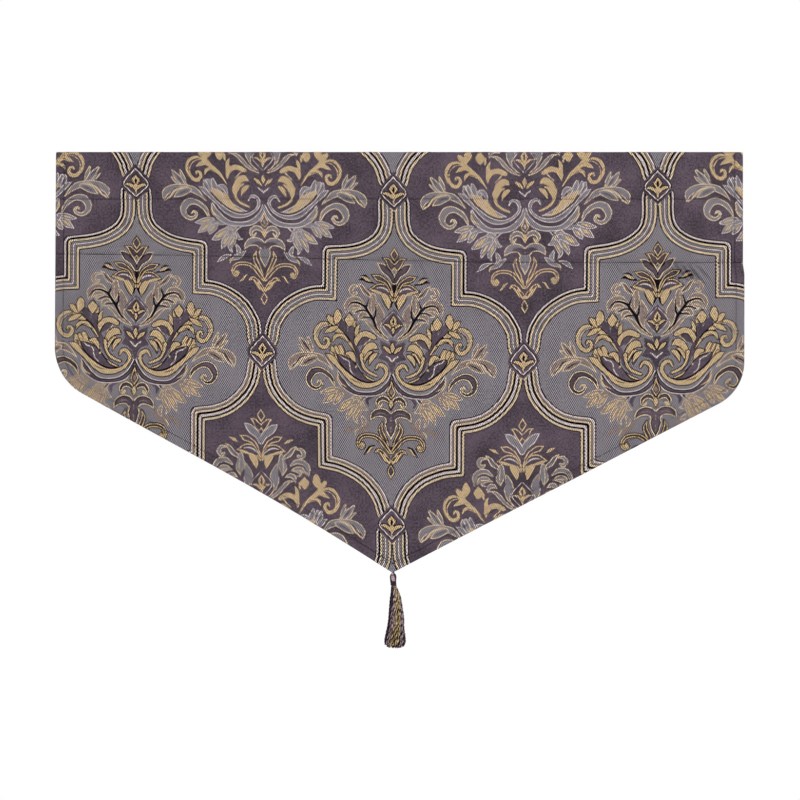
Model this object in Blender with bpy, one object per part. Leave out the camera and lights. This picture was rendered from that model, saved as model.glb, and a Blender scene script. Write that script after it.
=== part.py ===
"""An ascot valance: a pointed cloth panel, a turned-down heading that makes a header and a rod pocket, and a tassel.

Metres, +Z up. The front faces -Y, and the origin is the middle of the top edge, half-way through the cloth.
"""

import math
import random
from collections import namedtuple

import bmesh
import bpy
from mathutils import Vector

# The panel's outline, seen from the front
TOP_HALF_WIDTH = 0.4562
LOW_HALF_WIDTH = 0.4580
POINT_X = -0.0093
POINT_Z = -0.5570
LEFT_CORNER_Z = -0.3000
RIGHT_CORNER_Z = -0.3170
LEFT_CORNER_RADIUS = 0.072
RIGHT_CORNER_RADIUS = 0.063
LEFT_EDGE_LIFT = 0.0055
LIFT_SKEW = 1.5
LIFT_FADE = 0.16
CORNER_STEPS = 9

# The cloth
CLOTH = 0.0012
HEM_CLOTH = 0.0024
HEM_WIDTH = 0.0120
HEM_RAMP = 0.0015
GAP = 0.0003
PANEL_CELL = 0.026

# The heading: a header above the first row of stitching, a rod pocket between the two rows
HEADER_Z = -0.0625
SEAM_LEFT_Z = -0.1355
SEAM_DROP = 0.0112
SEAM_DROP_FROM = -0.46
SEAM_DROP_TO = 0.20
SEAM_ALLOWANCE = 0.0045
HEADING_TOP_Z = -0.0004
HEADING_INSET = 0.0010
HEADING_HEM_STEP = 0.0170
POCKET_SLACK = 0.0095
POCKET_UNEVEN = 0.0008
POCKET_WAVES = 2.5
POCKET_FRONT_SLACK = 0.0004
HEADER_ROWS = 3
POCKET_ROWS = 10

# The tassel, from its cord loop down
LOOP_TOP_Z = -0.5430
LOOP_WIDTH = 0.0046
LOOP_CORD = 0.0018
HEAD_TOP_Z = -0.5595
HEAD_HEIGHT = 0.0098
HEAD_RADIUS = 0.0050
NECK_RADIUS = 0.0027
BINDING_HEIGHT = 0.0062
BINDING_RADIUS = 0.0041
BINDING_TURNS = 4
BELL_RADIUS = 0.0044
BELL_HEIGHT = 0.0012
SKIRT_END_Z = -0.6590
SKIRT_RADIUS = 0.0157
SKIRT_DEPTH_SHARE = 0.9
SKIRT_DRIFT = 0.0020
STRAND_ROWS = 9
STRAND_LEVELS = 5
STRAND_ROOT_SHARE = 0.70
STRAND_END_SHARE = 0.62
STRAND_UNEVEN = 0.0040
STRAND_SWAY = 0.10
TASSEL_SEED = 7

Fold = namedtuple("Fold", "centre width depth lean")
# Soft folds below the heading: depth is how far the lower edge stands back, lean is its drift to the right
FOLDS = (
    Fold(centre=-0.370, width=0.085, depth=-0.0030, lean=0.020),
    Fold(centre=-0.215, width=0.075, depth=0.0028, lean=0.035),
    Fold(centre=-0.050, width=0.080, depth=-0.0042, lean=0.040),
    Fold(centre=0.120, width=0.070, depth=0.0032, lean=-0.020),
    Fold(centre=0.255, width=0.070, depth=-0.0040, lean=-0.035),
    Fold(centre=0.390, width=0.055, depth=0.0026, lean=-0.010),
)


def smooth(share):
    share = min(max(share, 0.0), 1.0)
    return share * share * (3 - 2 * share)


def seam_z(x):
    """The lower row of stitching, which drops towards the right."""
    return SEAM_LEFT_Z - SEAM_DROP * smooth((x - SEAM_DROP_FROM) / (SEAM_DROP_TO - SEAM_DROP_FROM))


def pocket_share(x, z):
    """0 on both rows of stitching and outside them, 1 half-way up the rod pocket."""
    half = (HEADER_Z - seam_z(x)) / 2
    across = (z - (HEADER_Z - half)) / half
    return max(0.0, 1 - across**4)


def front_y(x, z):
    """The front face of the hanging cloth."""
    fall = max(0.0, (seam_z(x) - z) / (seam_z(x) - POINT_Z))
    y = -CLOTH / 2 - POCKET_FRONT_SLACK * pocket_share(x, z)
    for fold in FOLDS:
        across = (x - fold.centre - fold.lean * fall) / fold.width
        y += fold.depth * fall * math.exp(-across * across)
    return y


def edge_lift(x, z):
    """The left lower edge hangs a little above the straight line from its corner to the point."""
    along = (x + LOW_HALF_WIDTH) / (POINT_X + LOW_HALF_WIDTH)
    if not 0 < along < 1:
        return 0.0
    straight_z = LEFT_CORNER_Z + (POINT_Z - LEFT_CORNER_Z) * along
    return LEFT_EDGE_LIFT * math.sin(math.pi * along**LIFT_SKEW) * smooth(1 - (z - straight_z) / LIFT_FADE)


def side_line(sign, inset):
    """A side edge as a point on it and its direction downwards, moved in by the inset."""
    top = Vector((sign * (TOP_HALF_WIDTH - inset), 0.0))
    low = Vector((sign * (LOW_HALF_WIDTH - inset), LEFT_CORNER_Z))
    return top, (low - top).normalized()


def lower_line(sign, inset):
    """A slanting lower edge as a point on it and its direction to the panel's point, moved in by the inset."""
    corner = Vector((sign * LOW_HALF_WIDTH, LEFT_CORNER_Z if sign < 0 else RIGHT_CORNER_Z))
    along = (Vector((POINT_X, POINT_Z)) - corner).normalized()
    inwards = Vector((-along.y, along.x)) * -sign
    return corner + inwards * inset, along


def crossing(first, second):
    """Where two lines, each a point and a direction, cross."""
    (p, d), (q, e) = first, second
    apart = q - p
    return p + d * ((apart.x * e.y - apart.y * e.x) / (d.x * e.y - d.y * e.x))


def corner_arc(sign, inset):
    """The rounded lower corner, from the side edge to the slanting edge."""
    radius = LEFT_CORNER_RADIUS if sign < 0 else RIGHT_CORNER_RADIUS
    centre = crossing(side_line(sign, radius), lower_line(sign, radius))
    side_along = side_line(sign, 0)[1]
    lower_along = lower_line(sign, 0)[1]
    start = Vector((-side_along.y, side_along.x)) * sign
    turn = side_along.angle(lower_along)
    points = []
    for step in range(CORNER_STEPS + 1):
        angle = -sign * turn * step / CORNER_STEPS
        spoke = Vector((
            start.x * math.cos(angle) - start.y * math.sin(angle),
            start.x * math.sin(angle) + start.y * math.cos(angle),
        ))
        points.append(centre + spoke * (radius - inset))
    return points


def outline(inset):
    """The flat outline from the top left corner, down and round by the point, to the top right corner."""
    point = crossing(lower_line(-1, inset), lower_line(1, inset))
    left = [side_line(-1, inset)[0], *corner_arc(-1, inset)]
    right = [*reversed(corner_arc(1, inset)), side_line(1, inset)[0]]
    return [*left, point, *right]


def hem_depth(x, z, edges):
    """How far inside the hemmed edges a flat point lies."""
    here = Vector((x, z))
    nearest = math.inf
    for start, end in zip(edges, edges[1:]):
        along = end - start
        share = min(max((here - start).dot(along) / along.length_squared, 0.0), 1.0)
        nearest = min(nearest, (here - start - along * share).length)
    return nearest


def new_object(name, mesh, color, roughness):
    mesh.normal_update()
    data = bpy.data.meshes.new(name)
    mesh.to_mesh(data)
    mesh.free()
    data.shade_smooth()
    data.set_sharp_from_angle(angle=math.radians(35))
    material = bpy.data.materials.new(name)
    material.use_nodes = True
    shader = material.node_tree.nodes["Principled BSDF"]
    shader.inputs["Base Color"].default_value = (*color, 1)
    shader.inputs["Roughness"].default_value = roughness
    shader.inputs["Metallic"].default_value = 0
    data.materials.append(material)
    made = bpy.data.objects.new(name, data)
    bpy.context.scene.collection.objects.link(made)
    return made


def closed_sheet(flat, front, back):
    """Turns a flat mesh of points (x, z) into a closed sheet between two surfaces."""
    mesh = bmesh.new()
    near = [mesh.verts.new(front(v.co.x, v.co.z)) for v in flat.verts]
    far = [mesh.verts.new(back(v.co.x, v.co.z)) for v in flat.verts]
    flat.verts.index_update()
    for face in flat.faces:
        ring = [v.index for v in face.verts]
        mesh.faces.new([near[i] for i in ring])
        mesh.faces.new([far[i] for i in reversed(ring)])
    for edge in flat.edges:
        if edge.is_boundary:
            a, b = (v.index for v in edge.verts)
            mesh.faces.new([near[a], near[b], far[b], far[a]])
    flat.free()
    bmesh.ops.triangulate(mesh, faces=mesh.faces)
    bmesh.ops.recalc_face_normals(mesh, faces=mesh.faces)
    return mesh


def cut_into_cells(flat, low, high, cell, normal):
    """Cuts a flat mesh along evenly spaced lines across one axis."""
    count = round((high - low) / cell)
    for step in range(1, count):
        place = Vector(normal) * (low + (high - low) * step / count)
        everything = [*flat.verts, *flat.edges, *flat.faces]
        bmesh.ops.bisect_plane(flat, geom=everything, dist=1e-6, plane_co=place, plane_no=normal)


def make_panel():
    """The front cloth, from the top edge to the point, with its turned side and lower hems as a thicker band."""
    edges = outline(0)
    flat = bmesh.new()
    rings = []
    for inset in (0, HEM_WIDTH, HEM_WIDTH + HEM_RAMP):
        rings.append([flat.verts.new((p.x, 0, p.y)) for p in outline(inset)])
    for outer, inner in zip(rings, rings[1:]):
        for k in range(len(outer) - 1):
            flat.faces.new([outer[k], outer[k + 1], inner[k + 1], inner[k]])
    flat.faces.new(rings[-1])
    cut_into_cells(flat, -LOW_HALF_WIDTH, LOW_HALF_WIDTH, PANEL_CELL, (1, 0, 0))
    cut_into_cells(flat, POINT_Z, 0, PANEL_CELL, (0, 0, 1))

    def front(x, z):
        return x, front_y(x, z), z + edge_lift(x, z)

    def back(x, z):
        inner = smooth((hem_depth(x, z, edges) - HEM_WIDTH) / HEM_RAMP)
        thick = HEM_CLOTH + (CLOTH - HEM_CLOTH) * inner
        return x, front_y(x, z) + thick, z + edge_lift(x, z)

    return new_object("panel", closed_sheet(flat, front, back), color=(0.21, 0.19, 0.22), roughness=0.6)


def make_heading():
    """The cloth turned down over the back: flat behind the header, bellied behind the rod pocket, open at both ends."""
    rows = [share / HEADER_ROWS for share in range(HEADER_ROWS)]
    rows += [1 + share / POCKET_ROWS for share in range(POCKET_ROWS + 1)]
    rows += [3]
    inner_half = TOP_HALF_WIDTH - HEADING_HEM_STEP
    count = round(2 * inner_half / PANEL_CELL)
    columns = [-1, -1 + HEM_WIDTH / TOP_HALF_WIDTH]
    columns += [(2 * step / count - 1) * inner_half / TOP_HALF_WIDTH for step in range(count + 1)]
    columns += [-columns[1], 1]

    def row_z(row, x):
        if row < 1:
            return HEADING_TOP_Z + (HEADER_Z - HEADING_TOP_Z) * row
        if row <= 2:
            return HEADER_Z + (seam_z(x) - HEADER_Z) * (row - 1)
        return seam_z(x) - SEAM_ALLOWANCE

    flat = bmesh.new()
    grid = []
    for row in rows:
        line = []
        for share in columns:
            x = share * (TOP_HALF_WIDTH - HEADING_INSET)
            line.append(flat.verts.new((x, 0, row_z(row, x))))
        grid.append(line)
    for upper, lower in zip(grid, grid[1:]):
        for k in range(len(columns) - 1):
            flat.faces.new([upper[k], upper[k + 1], lower[k + 1], lower[k]])

    def inner_y(x, z):
        before_it = HEM_CLOTH if abs(x) > inner_half + HEM_RAMP else CLOTH
        base = before_it + GAP - CLOTH / 2
        if z < seam_z(x):
            base = max(base, front_y(x, z) + before_it + GAP)
        slack = POCKET_SLACK + POCKET_UNEVEN * math.sin(POCKET_WAVES * math.pi * x / TOP_HALF_WIDTH)
        return base + slack * pocket_share(x, z)

    def front(x, z):
        return x, inner_y(x, z), z

    def back(x, z):
        thick = HEM_CLOTH if abs(x) > TOP_HALF_WIDTH - HEM_WIDTH - HEM_RAMP else CLOTH
        return x, inner_y(x, z) + thick, z

    return new_object("heading", closed_sheet(flat, front, back), color=(0.21, 0.19, 0.22), roughness=0.6)


def tassel_axis_y():
    """The tassel hangs from a loop sewn to the back of the panel's point."""
    return front_y(POINT_X, POINT_Z) + HEM_CLOTH + GAP + LOOP_CORD / 2


def disc_point(across, up):
    """A point of a square grid from -1 to 1, pressed into a round disc."""
    return across * math.sqrt(1 - up * up / 2), up * math.sqrt(1 - across * across / 2)


def rim_angles():
    """The angles of the grid's rim points, once round, so that the head's rings meet the strands' roots."""
    ends = [-1 + 2 * step / STRAND_ROWS for step in range(STRAND_ROWS)]
    rim = [(e, -1) for e in ends] + [(1, e) for e in ends]
    rim += [(-e, 1) for e in ends] + [(-1, -e) for e in ends]
    return [math.atan2(up, across) for across, up in (disc_point(*corner) for corner in rim)]


def head_profile():
    """Radius and height of the wound head, its neck under the binding, and the bell that the strands leave."""
    profile = []
    for step in range(1, 8):
        angle = math.pi * step / 8
        middle_z = HEAD_TOP_Z - HEAD_HEIGHT / 2
        profile.append((HEAD_RADIUS * math.sin(angle) ** 0.8, middle_z + HEAD_HEIGHT / 2 * math.cos(angle)))
    neck_z = HEAD_TOP_Z - HEAD_HEIGHT
    bell_z = neck_z - BINDING_HEIGHT - 2 * GAP
    profile += [(NECK_RADIUS, neck_z), (NECK_RADIUS, bell_z), (BELL_RADIUS, bell_z - GAP)]
    profile.append((BELL_RADIUS, bell_z - BELL_HEIGHT))
    return profile


def skirt_radius(fall):
    """The skirt's radius from the bell, 0, to the ends of the strands, 1: it flares fast and then slowly."""
    return BELL_RADIUS + (SKIRT_RADIUS - BELL_RADIUS) * math.sin(math.pi / 2 * fall) ** 0.9


def make_tassel():
    """The tassel's head with its strands, rooted in the bell under the neck."""
    chance = random.Random(TASSEL_SEED)
    mesh = bmesh.new()
    axis_y = tassel_axis_y()
    angles = rim_angles()
    rings = []
    profile = head_profile()
    for radius, z in profile:
        rings.append([
            mesh.verts.new((POINT_X + radius * math.cos(a), axis_y + radius * math.sin(a), z)) for a in angles
        ])
    count = len(angles)
    for upper, lower in zip(rings, rings[1:]):
        for k in range(count):
            mesh.faces.new([upper[k], upper[(k + 1) % count], lower[(k + 1) % count], lower[k]])
    mesh.faces.new(rings[0])

    bell_z = profile[-1][1]
    ticks = [-1 + 2 * step / STRAND_ROWS for step in range(STRAND_ROWS + 1)]
    rim = {}
    for k in range(STRAND_ROWS):
        rim[k, 0] = rings[-1][k]
        rim[STRAND_ROWS, k] = rings[-1][STRAND_ROWS + k]
        rim[STRAND_ROWS - k, STRAND_ROWS] = rings[-1][2 * STRAND_ROWS + k]
        rim[0, STRAND_ROWS - k] = rings[-1][3 * STRAND_ROWS + k]
    grid = {}
    for i, across in enumerate(ticks):
        for j, up in enumerate(ticks):
            u, v = disc_point(across, up)
            place = (POINT_X + BELL_RADIUS * u, axis_y + BELL_RADIUS * v, bell_z)
            grid[i, j] = rim[i, j] if (i, j) in rim else mesh.verts.new(place)

    for i in range(STRAND_ROWS):
        for j in range(STRAND_ROWS):
            corners = [(i, j), (i + 1, j), (i + 1, j + 1), (i, j + 1)]
            flat = [Vector(disc_point(ticks[a], ticks[b])) for a, b in corners]
            middle = sum(flat, Vector((0, 0))) / 4
            end_z = SKIRT_END_Z + STRAND_UNEVEN * chance.random() * middle.length
            sway = Vector((chance.uniform(-1, 1), chance.uniform(-1, 1))) * STRAND_SWAY * (flat[1] - flat[0]).length
            above = [grid[corner] for corner in corners]
            for level in range(STRAND_LEVELS + 1):
                fall = level / STRAND_LEVELS
                share = STRAND_ROOT_SHARE + (STRAND_END_SHARE - STRAND_ROOT_SHARE) * fall
                below = []
                for corner in flat:
                    spot = (middle + (corner - middle) * share + sway * fall) * skirt_radius(fall)
                    below.append(mesh.verts.new((
                        POINT_X + spot.x + SKIRT_DRIFT * fall,
                        axis_y + spot.y * (1 + (SKIRT_DEPTH_SHARE - 1) * fall),
                        bell_z + (end_z - bell_z) * fall,
                    )))
                for k in range(4):
                    mesh.faces.new([above[k], above[(k + 1) % 4], below[(k + 1) % 4], below[k]])
                above = below
            mesh.faces.new(above)
    bmesh.ops.recalc_face_normals(mesh, faces=mesh.faces)
    return new_object("tassel", mesh, color=(0.25, 0.15, 0.18), roughness=0.55)


def turned_ring(name, profile, sides, color, roughness):
    """A closed ring round the tassel's axis, from a closed profile of radius and height."""
    mesh = bmesh.new()
    axis_y = tassel_axis_y()
    rings = []
    for side in range(sides):
        angle = 2 * math.pi * side / sides
        rings.append([
            mesh.verts.new((POINT_X + radius * math.cos(angle), axis_y + radius * math.sin(angle), z))
            for radius, z in profile
        ])
    for side in range(sides):
        here, there = rings[side], rings[(side + 1) % sides]
        for k in range(len(profile)):
            following = (k + 1) % len(profile)
            mesh.faces.new([here[k], there[k], there[following], here[following]])
    bmesh.ops.recalc_face_normals(mesh, faces=mesh.faces)
    return new_object(name, mesh, color, roughness)


def make_binding():
    """The thread wound round the tassel's neck."""
    top_z = HEAD_TOP_Z - HEAD_HEIGHT - GAP
    inner = NECK_RADIUS + GAP
    thread = BINDING_HEIGHT / BINDING_TURNS
    profile = [(inner, top_z - BINDING_HEIGHT), (inner, top_z)]
    for turn in range(BINDING_TURNS):
        for step in range(1, 4):
            angle = math.pi * step / 4
            ridge = BINDING_RADIUS - thread / 2 + thread / 2 * math.sin(angle)
            profile.append((ridge, top_z - thread * (turn + 0.5 - 0.5 * math.cos(angle))))
    return turned_ring("tassel_binding", profile, sides=24, color=(0.07, 0.05, 0.07), roughness=0.5)


def make_loop():
    """The cord loop, sewn to the back of the point and closed above the tassel's head."""
    low_z = head_profile()[0][1] + GAP + LOOP_CORD / 2
    high_z = LOOP_TOP_Z
    bend = LOOP_WIDTH / 2
    back_y = tassel_axis_y()
    points = []
    for step in range(9):
        angle = math.pi * step / 8
        points.append((POINT_X + bend * math.cos(angle), high_z - bend + bend * math.sin(angle)))
    for step in range(9):
        angle = math.pi * (1 + step / 8)
        points.append((POINT_X + bend * math.cos(angle), low_z + bend + bend * math.sin(angle)))
    curve = bpy.data.curves.new("tassel_loop", "CURVE")
    curve.dimensions = "3D"
    curve.bevel_depth = LOOP_CORD / 2
    curve.bevel_resolution = 2
    spline = curve.splines.new("POLY")
    spline.points.add(len(points) - 1)
    for spot, (x, z) in zip(spline.points, points):
        over_cloth = max(0.0, min(1.0, (z - POINT_Z) / (2 * bend)))
        behind = front_y(x, z) + HEM_CLOTH + GAP + LOOP_CORD / 2 - back_y
        spot.co = (x, back_y + behind * over_cloth, z, 1)
    spline.use_cyclic_u = True
    material = bpy.data.materials.new("tassel_loop")
    material.use_nodes = True
    shader = material.node_tree.nodes["Principled BSDF"]
    shader.inputs["Base Color"].default_value = (0.16, 0.10, 0.12, 1)
    shader.inputs["Roughness"].default_value = 0.6
    shader.inputs["Metallic"].default_value = 0
    curve.materials.append(material)
    made = bpy.data.objects.new("tassel_loop", curve)
    bpy.context.scene.collection.objects.link(made)
    return made


for old in list(bpy.data.objects):
    bpy.data.objects.remove(old, do_unlink=True)

make_panel()
make_heading()
make_tassel()
make_binding()
make_loop()
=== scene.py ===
"""The looks of an ascot valance: woven damask cloth with a header and a rod pocket, and a tassel at its tip.

Metres, +Z up, the front towards -Y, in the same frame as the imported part. The origin is the middle of the top
edge.
"""

import math
from collections import namedtuple

import bmesh
import bpy
import numpy as np
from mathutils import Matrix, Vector, geometry


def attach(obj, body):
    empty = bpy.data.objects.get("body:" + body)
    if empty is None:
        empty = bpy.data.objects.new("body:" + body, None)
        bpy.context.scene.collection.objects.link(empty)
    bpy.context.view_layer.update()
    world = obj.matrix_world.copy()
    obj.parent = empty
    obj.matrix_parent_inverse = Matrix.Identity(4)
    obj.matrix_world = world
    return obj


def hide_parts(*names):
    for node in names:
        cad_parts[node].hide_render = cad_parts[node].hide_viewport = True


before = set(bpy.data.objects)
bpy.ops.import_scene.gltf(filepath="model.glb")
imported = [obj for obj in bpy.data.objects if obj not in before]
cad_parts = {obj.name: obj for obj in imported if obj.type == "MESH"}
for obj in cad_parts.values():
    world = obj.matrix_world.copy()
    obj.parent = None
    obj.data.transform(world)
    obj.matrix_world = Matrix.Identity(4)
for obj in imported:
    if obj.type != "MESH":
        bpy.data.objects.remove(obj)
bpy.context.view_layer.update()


# Camera, floor and light
# A straight-on studio view from 3.5 m away. The pale, matt floor lies half a metre below the tassel. The
# light is soft and comes from all round, a little stronger from the upper right, which shows the puckers.
CAMERA_PLACE = (0.0007, -3.541, -0.3294)
CAMERA_LENS = 120
CAMERA_SENSOR = 36
FLOOR_Z = -1.15
FLOOR_RADIUS = 1.5
FLOOR_GREY = (0.86, 0.86, 0.87)
SKY_LIGHT = 0.42
LAMPS_AIM = (0, 0, -0.33)


def added(name, data):
    """A new object in the scene."""
    thing = bpy.data.objects.new(name, data)
    bpy.context.scene.collection.objects.link(thing)
    return thing


camera_data = bpy.data.cameras.new("camera")
camera_data.lens = CAMERA_LENS
camera_data.sensor_width = CAMERA_SENSOR
camera = added("camera", camera_data)
camera.location = CAMERA_PLACE
camera.rotation_euler = (math.pi / 2, 0, 0)
bpy.context.scene.camera = camera
bpy.context.scene.view_settings.view_transform = "Standard"


def surface(name, roughness, base=None, sheen=0.0, specular=0.5):
    """A new material, and its node tree and shader."""
    material = bpy.data.materials.new(name)
    material.use_nodes = True
    tree = material.node_tree
    shader = tree.nodes["Principled BSDF"]
    shader.inputs["Roughness"].default_value = roughness
    shader.inputs["Specular IOR Level"].default_value = specular
    shader.inputs["Sheen Weight"].default_value = sheen
    if base is not None:
        shader.inputs["Base Color"].default_value = (*base, 1)
    return material, tree, shader


def wire(tree, kind, links=None, **settings):
    """Adds a node with its settings, and sets or links its inputs by name or number."""
    node = tree.nodes.new(kind)
    for name, value in settings.items():
        setattr(node, name, value)
    for key, value in (links or {}).items():
        if isinstance(value, bpy.types.NodeSocket):
            tree.links.new(value, node.inputs[key])
        else:
            node.inputs[key].default_value = value
    return node


floor_mesh = bmesh.new()
bmesh.ops.create_circle(floor_mesh, cap_ends=True, radius=FLOOR_RADIUS, segments=96)
bmesh.ops.translate(floor_mesh, verts=floor_mesh.verts, vec=(0, 0, FLOOR_Z))
floor_data = bpy.data.meshes.new("floor")
floor_mesh.to_mesh(floor_data)
floor_mesh.free()
floor_data.materials.append(surface("floor", roughness=0.7, base=FLOOR_GREY)[0])
added("floor", floor_data)

# The world shows white behind the cloth, but lights it more gently
world = bpy.data.worlds.new("studio")
world.use_nodes = True
sky = world.node_tree
seen = wire(sky, "ShaderNodeLightPath").outputs["Is Camera Ray"]
glow = wire(sky, "ShaderNodeMapRange", {"Value": seen, "To Min": SKY_LIGHT, "To Max": 1.0})
sky.links.new(glow.outputs[0], sky.nodes["Background"].inputs["Strength"])
sky.nodes["Background"].inputs["Color"].default_value = (1, 1, 1, 1)
bpy.context.scene.world = world

Lamp = namedtuple("Lamp", "name place size watts")
LAMPS = (
    Lamp(name="key", place=(2.3, -4.0, 2.2), size=1.0, watts=182),
    Lamp(name="fill", place=(-2.4, -2.6, -0.3), size=1.6, watts=20),
    Lamp(name="rim", place=(0.6, 2.2, 0.9), size=1.4, watts=36),
)
for lamp in LAMPS:
    lamp_data = bpy.data.lights.new(lamp.name, "AREA")
    lamp_data.size = lamp.size
    lamp_data.energy = lamp.watts
    hanging = added(lamp.name, lamp_data)
    hanging.location = lamp.place
    aim = Vector(LAMPS_AIM) - Vector(lamp.place)
    hanging.rotation_euler = aim.to_track_quat("-Z", "Y").to_euler()


# The woven pattern
# A traditional ogee damask: framed cells on a grey ribbed ground and on a plum satin ground, set in alternate
# rows, each with the same mirrored bouquet. It is charted in squares of 1.328 mm, for the right half of a
# cell, with the squares counted from the cell's middle.
SQUARE = 0.001328
ACROSS = 261.5
DOWN = 332.8
LIGHT_CELL = (-0.0080, -0.2736)

GREY, PLUM, GOLD, PALE, DARK, MAUVE, CREAM, GREY_BACK, PLUM_BACK, FIGURE_BACK = range(10)
# How each kind of stroke is woven, on the grey ground and on the plum one: rings of yarn from the outside in,
# each with how far it stands out from the stroke
FINISHES = {
    "gold": (((DARK, 0.9), (GOLD, 0)), ((GOLD, 0),)),
    "scroll": (((DARK, 0.9), (GOLD, 0)), ((PALE, 0), (GREY, -0.9))),
    "scroll leaf": (((DARK, 0.3), (PLUM, -0.7)), ((GOLD, -0.9),)),
    "rimmed": (((DARK, 0.9), (GOLD, 0), (DARK, -1.1), (PLUM, -1.8)), ((GOLD, 0), (PLUM, -1.2))),
    "curl": (((DARK, 0.5), (CREAM, 0), (DARK, -1.2), (PLUM, -2.0)), ((CREAM, 0), (GREY, -1.1))),
    "petal": (((CREAM, 0), (DARK, -1.0), (PLUM, -1.8)), ((PALE, 0), (GREY, -1.0))),
    "band": (((PALE, 0), (DARK, -1.0), (PLUM, -1.9)), ((PALE, 0), (GREY, -1.0))),
    "leaf": (((CREAM, 0), (MAUVE, -0.9)), ((CREAM, 0), (GREY, -0.9))),
    "faint": (((MAUVE, -0.4),), ((PALE, -0.8), (GREY, -1.5))),
    "tuft": (((CREAM, 0), (MAUVE, -0.8), (GOLD, -2.1)), ((PALE, 0), (GREY, -0.9), (GOLD, -2.2))),
    "vein": (((DARK, 0),), ((PLUM, 0),)),
    "line": (((PALE, 0),), ((PALE, 0),)),
    "cream line": (((CREAM, 0),), ((CREAM, 0),)),
    "gold line": (((GOLD, 0),), ((GOLD, 0),)),
    "plum": (((PLUM, 0),), ((PLUM, 0),)),
    "grey": (((GREY, 0),), ((PLUM, 0),)),
}

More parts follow.
